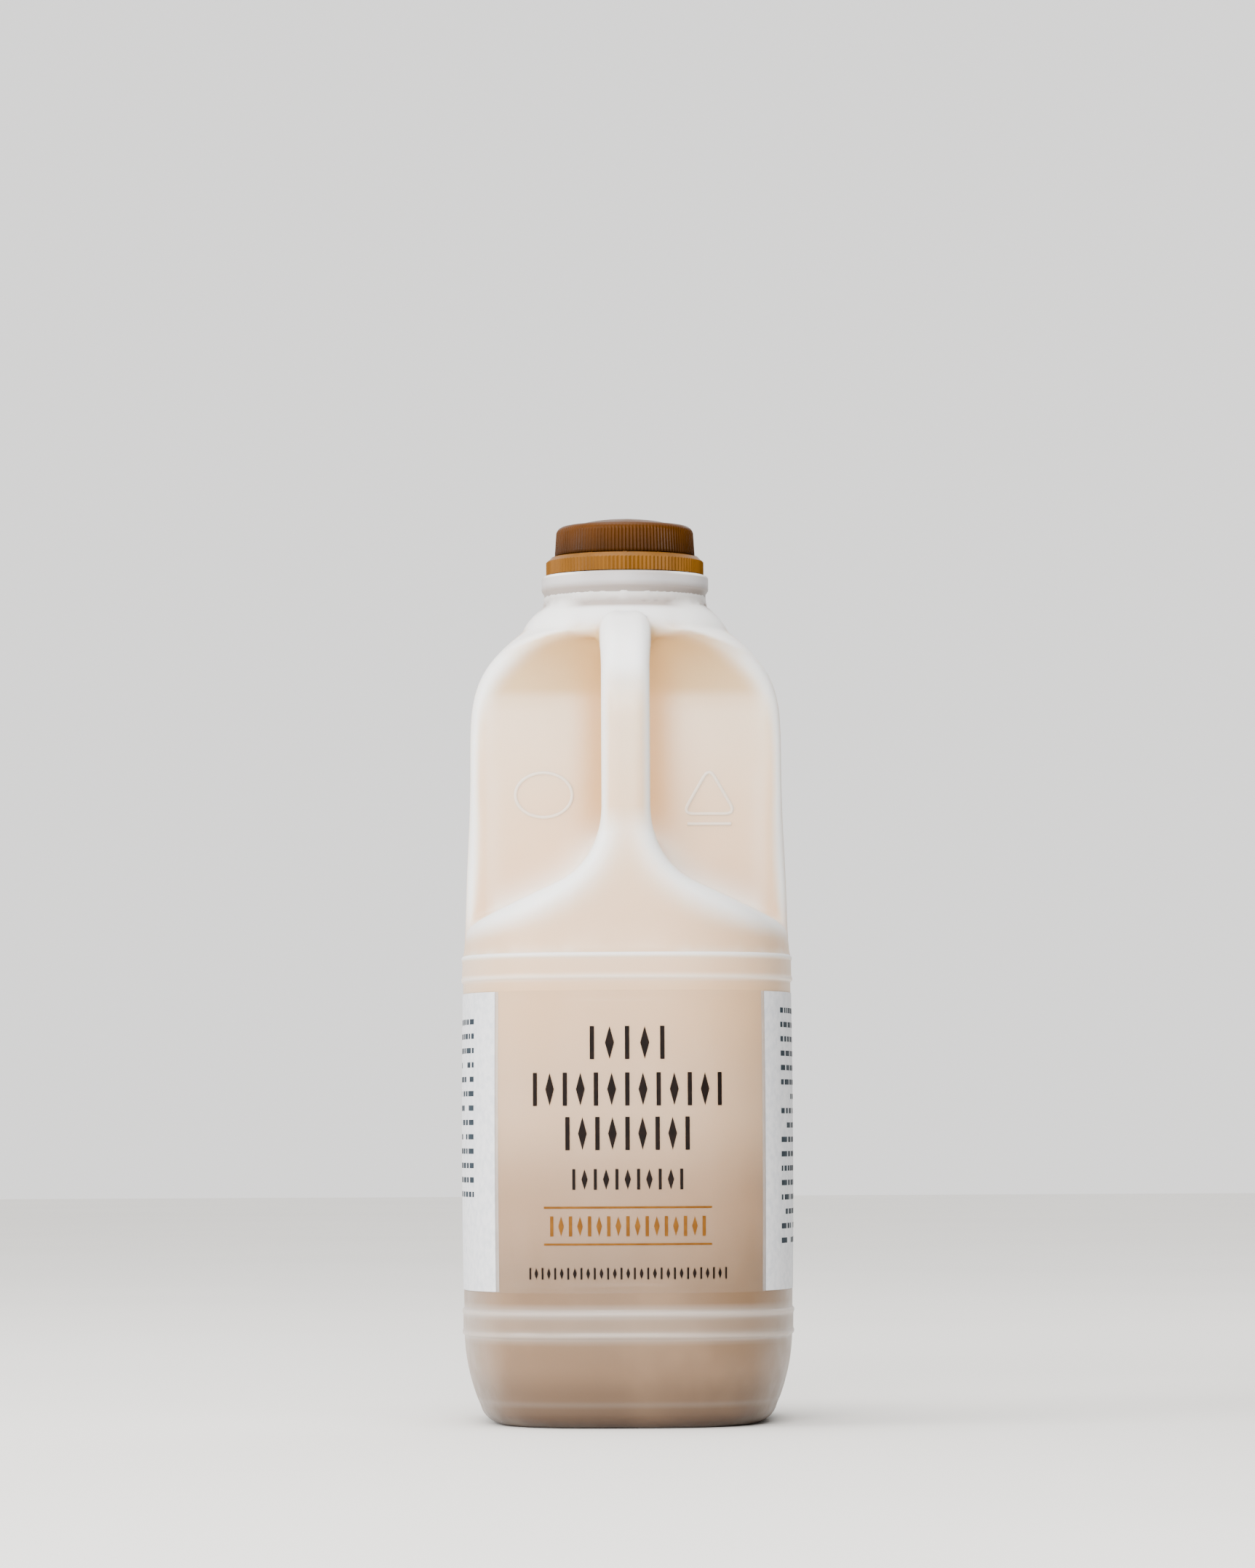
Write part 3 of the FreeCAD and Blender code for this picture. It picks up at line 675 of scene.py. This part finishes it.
def lower_profile():
    """(z, outset) pairs from the foot ring up to the ledge over the upper band."""
    heel_steps, bead_steps = 8, 40
    rise, fine_rise, panel_rise = 1.2, 0.3, 1.6
    under_bead = BEAD_REACH + 0.3
    profile = []
    for i in range(heel_steps + 1):
        a = math.radians(90 * i / heel_steps)
        profile.append((HEEL_RADIUS * (1 - math.cos(a)), -HEEL_RADIUS * (1 - math.sin(a))))
    z = HEEL_RADIUS + 0.4
    while z < LOWER_BAND_Z - under_bead:
        sunk = 1 - soft(PARTING_Z, PARTING_Z + 0.9, z)
        profile.append((z, -PARTING_DEPTH * sunk * min(1.0, z - HEEL_RADIUS)))
        z += fine_rise if PARTING_Z - 0.8 < z < PARTING_Z + 1.6 else rise
    for foot in (LOWER_BAND_Z, UPPER_BAND_Z):
        for i in range(bead_steps + 1):
            t = -BEAD_REACH + (BAND_HEIGHT + 2 * BEAD_REACH) * i / bead_steps
            profile.append((foot + t, bead(t)))
        z = foot + BAND_HEIGHT + BEAD_REACH + 0.5
        while z < UPPER_BAND_Z - under_bead:
            profile.append((z, 0.0))
            z += panel_rise
    profile.append((UPPER_BAND_TOP + BEAD_REACH + 0.01, -1.5))
    return [(z, outset - heel_draw(z)) for z, outset in profile]


def lower_edges(points):
    """Where the lower body's plastic shows white, partly thick plastic and partly painted
    highlight: the bands' beads and corners.
    """
    edge = np.zeros(len(points))
    z = points[:, 2]
    # for each band: how white its lower and upper bead are as painted highlight, the upper
    # beads brighter as if lit from above, and how far that reaches
    for foot, low, high, reach in ((LOWER_BAND_Z, 0.20, 0.26, 1.3),
                                   (UPPER_BAND_Z, 0.42, 0.80, 0.9)):
        for crest, strong in ((0.15, low), (BAND_HEIGHT - 0.1, high)):
            edge += strong * np.exp(-((z - foot - crest) / reach) ** 2)
        inside = np.clip(1 - np.abs(z - foot - BAND_HEIGHT / 2) / (BAND_HEIGHT / 2), 0, 1)
        edge += 0.06 * np.minimum(1, 4 * inside)
    edge += 0.04 * np.exp(-((z - PARTING_Z - 0.4) / 0.8) ** 2)
    # partly thick plastic seen edge-on, partly painted highlight: the corners whiter towards
    # the sides
    corner = ramp_up(np.abs(points[:, 0]), 36, 48) * (z > 2)
    return edge + 0.10 * corner


def make_lower(material):
    """The body from its push-up base to the ledge over the upper band."""
    slope_top = FOOT_WIDTH + PUSH_UP_SLOPE
    # the base from its middle out: height, and how far in from the plan at the floor
    base = ((PUSH_UP, half_width(0) - 1.0), (PUSH_UP, slope_top + 6), (PUSH_UP, slope_top),
            (0.93 * PUSH_UP, FOOT_WIDTH + 9), (0.7 * PUSH_UP, FOOT_WIDTH + 5),
            (0.3 * PUSH_UP, FOOT_WIDTH + 2), (0.06 * PUSH_UP, FOOT_WIDTH + 0.5),
            (0, FOOT_WIDTH), (0, 8.0))
    rings = []
    for z, inset in base:
        ring = plan_ring(0, -inset)
        ring[:, 2] = z
        rings.append(ring)
    for z, outset in lower_profile():
        ring = plan_ring(min(z, UPPER_BAND_TOP), outset)
        ring[:, 2] = z
        rings.append(ring)
    points = np.concatenate(rings)
    faces = ring_faces(len(rings), PLAN_STEPS)
    faces.append(tuple(reversed(range(PLAN_STEPS))))
    obj = mesh_from("bottle_lower", points, faces, material)
    store_edge(obj.data, lower_edges(points))
    return obj


def make_neck(material):
    """The collar bead and the threaded finish that the cap hides."""
    steps = 240
    foot_radius, bead_radius, bead_top_radius = 20.0, 21.2, 20.6     # under the tamper band
    thread_pitch, thread_depth, thread_half = 4.2, 0.5, 0.7
    bevel = 0.5
    inner_neck, inner_top = NECK_RADIUS - 1.0, COLLAR_TOP - 0.9
    profile = [(NECK_RADIUS - 0.05, COLLAR_Z - 1.2), (NECK_RADIUS + 0.02, COLLAR_Z - 0.4)]
    profile += arc(NECK_RADIUS - 0.2, COLLAR_Z + 1.1, 1.0, -40, 0, 5)
    profile += arc(COLLAR_RADIUS - 1.0, COLLAR_TOP - 1.0, 1.0, 0, 90, 6)
    profile += [(foot_radius, COLLAR_TOP), (foot_radius, COLLAR_TOP + 1.2),
                (bead_radius, COLLAR_TOP + 1.3), (bead_top_radius, COLLAR_TOP + 3.2),
                (FINISH_RADIUS, COLLAR_TOP + 4.0)]
    z = COLLAR_TOP + 4.5
    while z < LIP_Z - 0.6:
        profile.append((FINISH_RADIUS, z))
        z += 0.4
    profile += arc(FINISH_RADIUS - bevel, LIP_Z - bevel, bevel, 0, 90, 4)
    profile += [(FINISH_BORE + bevel, LIP_Z), (FINISH_BORE, LIP_Z - bevel),
                (FINISH_BORE, inner_top), (inner_neck, inner_top), (inner_neck, COLLAR_Z - 1.2)]

    def thread(angle, i):
        radius, z = profile[i]
        if not (COLLAR_TOP + 4.4 < z < LIP_Z - 0.7 and radius == FINISH_RADIUS):
            return 0.0
        turn = (z - COLLAR_TOP - 5.0) / thread_pitch - angle / (2 * math.pi)
        near = np.abs(turn - np.round(turn)) * thread_pitch
        return thread_depth * np.clip(1.4 - near / thread_half, 0, 1)

    points, faces = lathe(profile, steps, thread)
    obj = mesh_from("bottle_neck", points, faces, material)
    mark_edges(obj.data, 0.2, 1.2, 1)
    return obj


def make_milk(skin, material):
    """The milk: the bottle's skin sunk into the wall, cut level, with fewer faces."""
    mesh = skin.copy()
    mesh.name = "milk_fill"
    points = get_points(mesh)
    normals = get_normals(mesh)
    points -= WALL_SINK * MM * normals
    heel = MILK_HEEL_PULL * heel_draw(points[:, 2] / MM) / half_width(0)
    points[:, :2] *= 1 - heel[:, None]
    set_points(mesh, points)
    cut_mesh(mesh, MILK_LEVEL, False, True)
    obj = piece_from("milk_fill", mesh, material)
    thin = obj.modifiers.new("fewer", "DECIMATE")
    thin.ratio = MILK_FACES_KEPT
    depsgraph = bpy.context.evaluated_depsgraph_get()
    lean = bpy.data.meshes.new_from_object(obj.evaluated_get(depsgraph))
    obj.modifiers.clear()
    obj.data = lean
    return obj


def make_bottle(plastic, milk):
    """The bottle in three pieces, and the milk in it."""
    skin = outer_skin()
    fill = make_milk(skin, milk)
    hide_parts("milk")
    cut_mesh(skin, UPPER_BAND_TOP - JOINT_OVERLAP, True, False)
    mark_edges(skin, 0.010, 0.042, 5, 8)
    upper = piece_from("bottle_upper", skin, plastic)
    for obj in (upper, make_lower(plastic), make_neck(plastic)):
        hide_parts("bottle")


# ---- raised marks on the pocket's wall ------------------------------------------------------
MARK_WIDTH = 1.1
MARK_HEIGHT = 0.4
MARK_SINK = 0.05             # how far a mark's foot lies in the wall
MARK_WHITE = 0.35            # how white its plastic shows
OVAL_CENTRE = (-24.3, 185.4)         # (x, z), as all places on the wall
OVAL_HALF = (8.4, 6.6)
TRIANGLE = ((24.7, 193.4), (16.8, 179.6), (32.6, 179.6))
TRIANGLE_ROUNDING = 3.4
BAR_START = (18.2, 176.6)
BAR_LENGTH = 13.0


def relief(name, path, material, closed=True):
    """A low rounded line along (x, z) points on the wall behind the fingers."""
    sections = 7
    path = np.array(path)
    count = len(path)
    if closed:
        along = np.roll(path, -1, axis=0) - np.roll(path, 1, axis=0)
    else:
        along = np.gradient(path, axis=0)
    along /= np.linalg.norm(along, axis=1)[:, None]
    across = np.stack([-along[:, 1], along[:, 0]], 1)
    foot_y = POCKET_WALL_Y + MARK_SINK
    points = []
    for i in range(count):
        for j in range(sections):
            side = math.pi * j / (sections - 1)
            x, z = path[i] + across[i] * 0.5 * MARK_WIDTH * math.cos(side)
            points.append((x, foot_y - MARK_HEIGHT * math.sin(side), z))
    faces = []
    for i in range(count if closed else count - 1):
        k = (i + 1) % count
        for j in range(sections - 1):
            faces.append((i * sections + j, i * sections + j + 1,
                          k * sections + j + 1, k * sections + j))
    obj = mesh_from(name, points, faces, material)
    store_edge(obj.data, np.full(len(points), MARK_WHITE))


def rounded_path(corners, radius, steps=8):
    """Points round a polygon of (x, z) corners, each corner rounded."""
    path = []
    count = len(corners)
    for i in range(count):
        before, here, after = (Vector(corners[(i + k) % count]) for k in (-1, 0, 1))
        start = here + (before - here).normalized() * radius
        end = here + (after - here).normalized() * radius
        for s in range(steps + 1):
            t = s / steps
            spot = start * (1 - t) ** 2 + here * 2 * t * (1 - t) + end * t ** 2
            path.append((spot.x, spot.y))
    return path


def make_marks(material):
    """Plain raised shapes where such a bottle has its moulder's marks."""
    oval_steps, bar_steps = 72, 12
    oval = []
    for i in range(oval_steps):
        a = 2 * math.pi * i / oval_steps
        oval.append((OVAL_CENTRE[0] + OVAL_HALF[0] * math.cos(a),
                     OVAL_CENTRE[1] + OVAL_HALF[1] * math.sin(a)))
    bar = [(BAR_START[0] + BAR_LENGTH * i / bar_steps, BAR_START[1])
           for i in range(bar_steps + 1)]
    relief("mark_oval", oval, material)
    relief("mark_triangle", rounded_path(TRIANGLE, TRIANGLE_ROUNDING), material)
    relief("mark_bar", bar, material, closed=False)


# ---- cap ------------------------------------------------------------------------------------
CAP_RIBS = 120
CAP_RIB_DEPTH = 0.35
CAP_TAPER = 0.42             # how much narrower the skirt is under the rounded rim
CAP_EDGE = 2.5               # the rim's rounding
CAP_TOP_WALL = 1.3
CAP_CROWN_RADIUS = 15.2      # the domed middle
CAP_FOOT_BEVEL = 0.25


def make_cap(material):
    """The screw cap: fine ribs that die out in its rounded rim, and a domed middle."""
    skirt_steps, rim_steps, crown_steps, faded_rings = 8, 12, 24, 5
    inner_top = CAP_RIM_Z - CAP_TOP_WALL
    rim = CAP_RADIUS - CAP_TAPER
    profile = [(0.02, inner_top), (CAP_BORE, inner_top), (CAP_BORE, CAP_FOOT_Z),
               (CAP_RADIUS - CAP_FOOT_BEVEL, CAP_FOOT_Z)]
    ribbed_from = len(profile) - 1
    skirt_z = CAP_FOOT_Z + CAP_FOOT_BEVEL
    skirt_height = CAP_RIM_Z - CAP_EDGE - 0.1 - skirt_z
    for i in range(skirt_steps + 1):
        share = i / skirt_steps
        profile.append((CAP_RADIUS - CAP_TAPER * share, skirt_z + skirt_height * share))
    ribbed_to = len(profile)
    profile += arc(rim - CAP_EDGE, CAP_RIM_Z - CAP_EDGE, CAP_EDGE, 8, 90, rim_steps)
    profile += [(CAP_CROWN_RADIUS + 1.0, CAP_RIM_Z), (CAP_CROWN_RADIUS, CAP_RIM_Z + 0.02)]
    for i in range(1, crown_steps + 1):
        a = math.pi / 2 * i / crown_steps
        profile.append((CAP_CROWN_RADIUS * math.cos(a) + 0.02,
                        CAP_RIM_Z + (CAP_TOP_Z - CAP_RIM_Z) * math.sin(a) ** 1.5))

    def ribs(angle, i):
        if not ribbed_from <= i < ribbed_to + faded_rings:
            return 0.0
        fade = 1.0 if i < ribbed_to else 1 - (i - ribbed_to + 1) / (faded_rings + 1)
        wave = 0.5 - 0.5 * np.cos(angle * CAP_RIBS)
        return -CAP_RIB_DEPTH * fade * wave ** 1.5

    points, faces = lathe(profile, CAP_RIBS * 8, ribs)
    obj = mesh_from("cap_shell", points, faces, material)
    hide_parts("cap")


# ---- label print ----------------------------------------------------------------------------
# Places on the film: s is the length along it from the middle of the front, z the height.
PANEL_X = 39.4               # where the white side panels start, on the front
PANEL_SHIFT = 0.8            # how far the clear front between them lies to the right
PANEL_FOOT = 0.3             # from the label's lower and upper edge to a panel's
PANEL_HEAD = 0.2
SMALL_PRINT_X = 45.0         # where the panels' small print starts
SMALL_PRINT_PANELS = ((1, 51.0, 121.0), (-1, 66.0, 118.0))   # side, lowest and highest line
SMALL_PRINT_HALF = 0.8       # half of a line's height
SMALL_PRINT_PITCH = 4.2
SMALL_PRINT_END = 6.0        # the least way from a line's end to the panel's
SMALL_PRINT_FILLED = 0.93    # share of the places for a dash that have one
DASH = (1.6, 6.5)            # shortest and longest dash
DASH_GAP = (0.9, 1.5)
OVER_PANEL = 0.03            # how far the small print lies over the panels
DARK_ROWS = (                # half length, foot, head, pitch, width of an upright
    (10.2, 106.6, 116.2, 4.3, 1.3),
    (27.2, 93.2, 102.8, 4.2, 1.3),
    (17.4, 80.4, 90.0, 4.1, 1.3),
    (15.6, 69.0, 75.0, 3.0, 0.9),
    (29.0, 43.2, 46.6, 1.9, 0.6),
)
GOLD_ROW = (22.2, 55.6, 61.4, 2.7, 1.0)
GOLD_LINES = ((63.6, 64.2), (53.0, 53.6))    # foot and head
GOLD_LINE_HALF = 24.6


class Wrap:
    """Gives places on the label film by s and z."""

    def __init__(self):
        steps = 2880                         # a multiple of 4, so one is the front's middle
        ring = plan_ring((LABEL_Z + LABEL_TOP) / 2, LABEL_OUTSET, steps)
        start = steps * 3 // 4
        ring = np.roll(ring, -start, axis=0)
        runs = np.linalg.norm(np.roll(ring, -1, axis=0) - ring, axis=1)
        self.length = runs.sum()
        self.s = np.concatenate([[0], np.cumsum(runs)])
        self.angle = -math.pi / 2 + np.arange(steps + 1) * (2 * math.pi / steps)

    def angle_at(self, s):
        return np.interp(s % self.length, self.s, self.angle)

    def point(self, s, z, lift):
        """The point at s and z that stands `lift` out of the film."""
        half = half_width(z) + LABEL_OUTSET + lift
        deep = half + EXTRA_DEPTH
        a = self.angle_at(s)
        radius = (abs(math.cos(a) / half) ** PLAN_POWER
                  + abs(math.sin(a) / deep) ** PLAN_POWER) ** (-1 / PLAN_POWER)
        return radius * math.cos(a), radius * math.sin(a), z

    def s_of_x(self, x):
        """Arc length to the place on the front that is x mm from the middle."""
        s = 0.0
        while self.point(s, (LABEL_Z + LABEL_TOP) / 2, 0)[0] < abs(x):
            s += 0.1
        return math.copysign(s, x)


class Sheet:
    """Collects flat shapes of one ink and lays them on the film."""

    def __init__(self, wrap, lift):
        self.wrap = wrap
        self.lift = lift
        self.points = []
        self.faces = []

    def block(self, s0, s1, z0, z1, cell=1.5):
        """A rectangle in cells small enough to follow the film."""
        across = max(1, math.ceil((s1 - s0) / cell))
        up = max(1, math.ceil((z1 - z0) / (3 * cell)))
        start = len(self.points)
        for j in range(up + 1):
            for i in range(across + 1):
                self.points.append(self.wrap.point(s0 + (s1 - s0) * i / across,
                                                   z0 + (z1 - z0) * j / up, self.lift))
        for j in range(up):
            for i in range(across):
                a = start + j * (across + 1) + i
                self.faces.append((a, a + 1, a + across + 2, a + across + 1))

    def lozenge(self, s, z, wide, tall):
        """A lozenge round (s, z)."""
        start = len(self.points)
        for ds, dz in ((0, 0), (wide / 2, 0), (0, tall / 2), (-wide / 2, 0), (0, -tall / 2)):
            self.points.append(self.wrap.point(s + ds, z + dz, self.lift))
        for i in range(4):
            self.faces.append((start, start + 1 + i, start + 1 + (i + 1) % 4))

    def piece(self, name, material):
        """The piece that holds all the shapes collected."""
        obj = mesh_from(name, self.points, self.faces, material)


def ornament(sheet, half, low, high, pitch, bar):
    """A row of uprights with a lozenge between each two."""
    count = 2 * max(1, round(half / pitch))
    for i in range(count + 1):
        s = -half + 2 * half * i / count
        if i % 2:
            sheet.lozenge(s, (low + high) / 2, 0.62 * pitch, high - low)
        else:
            sheet.block(s - bar / 2, s + bar / 2, low, high)


def make_print(white, haze, brown, gold, slate):
    """The label's print: two white side panels with small print, and rows on the front."""
    wrap = Wrap()
    panels, soft_edges, dark, warm = (Sheet(wrap, ON_FILM) for _ in range(4))
    small = Sheet(wrap, ON_FILM + OVER_PANEL)
    for row in DARK_ROWS:
        ornament(dark, *row)
    for foot, head in GOLD_LINES:
        warm.block(-GOLD_LINE_HALF, GOLD_LINE_HALF, foot, head)
    ornament(warm, *GOLD_ROW)
    panel_end = wrap.length / 2 - wrap.s_of_x(PANEL_X)
    text_from = wrap.s_of_x(SMALL_PRINT_X)
    foot, head = LABEL_Z + PANEL_FOOT, LABEL_TOP - PANEL_HEAD
    rng = random.Random(7)
    for side, low, high in SMALL_PRINT_PANELS:
        panel_from = wrap.s_of_x(PANEL_X + PANEL_SHIFT * side)
        panels.block(*sorted((side * panel_from, side * panel_end)), foot, head)
        soft_from = panel_from - SOFT_EDGE
        soft_edges.block(*sorted((side * soft_from, side * panel_from)), foot, head)
        z = high
        while z > low:
            s = text_from
            while s < panel_end - SMALL_PRINT_END - 2:
                run = rng.uniform(*DASH)
                end = min(s + run, panel_end - SMALL_PRINT_END)
                if rng.random() < SMALL_PRINT_FILLED:
                    small.block(*sorted((side * s, side * end)),
                                z - SMALL_PRINT_HALF, z + SMALL_PRINT_HALF)
                s = end + rng.uniform(*DASH_GAP)
            z -= SMALL_PRINT_PITCH
    panels.piece("print_panels", white)
    soft_edges.piece("print_soft_edges", haze)
    dark.piece("print_dark", brown)
    warm.piece("print_gold", gold)
    small.piece("print_lines", slate)


def make_film(material):
    """The label's clear film, a thin sleeve close round the body."""
    rises = 24
    height = LABEL_TOP - LABEL_Z
    rings = [plan_ring(LABEL_Z + height * (i / rises), FILM_OUTER)
             for i in range(rises + 1)]
    rings += [plan_ring(LABEL_Z + height * (1 - i / rises), FILM_INNER)
              for i in range(rises + 1)]
    faces = ring_faces(len(rings), PLAN_STEPS)
    last = (len(rings) - 1) * PLAN_STEPS
    for j in range(PLAN_STEPS):
        k = (j + 1) % PLAN_STEPS
        faces.append((last + j, last + k, k, j))
    film = mesh_from("label_sleeve", np.concatenate(rings), faces, material)
    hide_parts("label_film")


# ---- camera, light and floor; places in metres ----------------------------------------------
CAMERA_PLACE = (0.0, -1.8575, 0.087)
CAMERA_RISE = 3.16           # degrees up from level
CAMERA_ROLL = 0.28
LENS = 142.7                 # mm, on a sensor 36 mm along the frame's longer side
SENSOR = 36.0
WORLD_STRENGTH = 1.55
LIGHTS = (                   # name, place, what it looks at, size, watts, colour
    ("key", (-0.25, -2.1, 1.0), (0, 0, 0.15), (1.2, 0.9), 58, (1.0, 0.985, 0.96)),
    ("side", (-1.5, -0.7, 0.9), (0, 0, 0.12), (1.0, 1.0), 26, (1.0, 0.99, 0.98)),
    ("top", (-0.1, -0.1, 1.8), (0, 0, 0.1), (1.4, 1.0), 26, (1.0, 1.0, 1.0)),
)
FLOOR_HALF = 6.0
FLAG_X = 0.42                # the black card that shades the bottle's right side
FLAG_Y = (-0.55, 0.5)
FLAG_TOP = 0.62


def make_camera():
    """The camera at the photograph's viewing angle."""
    data = bpy.data.cameras.new("camera")
    data.lens = LENS
    data.sensor_width = SENSOR
    data.clip_start = 0.05
    data.clip_end = 20.0
    camera = bpy.data.objects.new("camera", data)
    bpy.context.collection.objects.link(camera)
    camera.location = CAMERA_PLACE
    camera.rotation_euler = (math.radians(90 + CAMERA_RISE), math.radians(CAMERA_ROLL), 0.0)
    bpy.context.scene.camera = camera


def area_light(name, place, target, size, energy, colour):
    """A rectangular light that looks at the target."""
    data = bpy.data.lights.new(name, "AREA")
    data.shape = "RECTANGLE"
    data.size, data.size_y = size
    data.energy = energy
    data.color = colour
    light = bpy.data.objects.new(name, data)
    bpy.context.collection.objects.link(light)
    light.location = place
    light.rotation_euler = (Vector(target) - Vector(place)).to_track_quat("-Z", "Y").to_euler()


def stage_sheet(name, corners, material):
    """A flat four-cornered sheet of the stage."""
    mesh = bpy.data.meshes.new(name)
    mesh.from_pydata(corners, [], [(0, 1, 2, 3)])
    mesh.materials.append(material)
    sheet = bpy.data.objects.new(name, mesh)
    bpy.context.collection.objects.link(sheet)
    return sheet


def make_stage():
    """A pale paper floor, soft studio light, and a black card the camera doesn't see."""
    n = Nodes("floor_paper")
    n.bump(n.noise(300.0, 2.0), 0.05, 0.0005)
    paper = n.set(Base_Color=n.mix(n.noise(3.0, 2.0), linear(238, 236, 232),
                                   linear(230, 228, 224)), Roughness=0.85)
    half = FLOOR_HALF
    floor = stage_sheet("floor", [(-half, -half, 0), (half, -half, 0), (half, half, 0),
                                  (-half, half, 0)], paper)
    world = bpy.data.worlds.new("studio")
    world.use_nodes = True
    back = world.node_tree.nodes["Background"]
    back.inputs["Color"].default_value = (1.0, 0.99, 0.975, 1)
    back.inputs["Strength"].default_value = WORLD_STRENGTH
    bpy.context.scene.world = world
    for light in LIGHTS:
        area_light(*light)
    near, far = FLAG_Y
    black = Nodes("black_cloth").set(Base_Color=linear(14, 14, 14), Roughness=0.9)
    cloth = stage_sheet("flag", [(FLAG_X, near, 0), (FLAG_X, far, 0), (FLAG_X, far, FLAG_TOP),
                                 (FLAG_X, near, FLAG_TOP)], black)
    cloth.visible_camera = False


# ---- the scene ------------------------------------------------------------------------------
CAP_BROWN = ((50, 25, 0), (76, 41, 2))       # each a pair of colours that the surface mixes
RING_BROWN = ((104, 66, 18), (150, 100, 40))
PRINT_WHITE = ((224, 225, 229), (208, 211, 217))
PRINT_BROWN = ((15, 7, 4), (24, 13, 8))
PRINT_GOLD = ((106, 64, 14), (120, 76, 22))
PRINT_SLATE = ((26, 38, 48), (36, 50, 60))

make_camera()
make_stage()
plastic = bottle_plastic()
make_bottle(plastic, milk_material())
make_marks(plastic)
make_cap(cap_plastic("cap_brown", *CAP_BROWN))
ring = cap_plastic("ring_brown", *RING_BROWN)
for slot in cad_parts["tamper_band"].material_slots:
    slot.material = ring
make_film(film_material())
make_print(ink("print_white", *PRINT_WHITE, roughness=0.45),
           ink("print_haze", *PRINT_WHITE, roughness=0.45, alpha=0.3),
           ink("print_brown", *PRINT_BROWN),
           ink("print_gold", *PRINT_GOLD),
           ink("print_slate", *PRINT_SLATE))
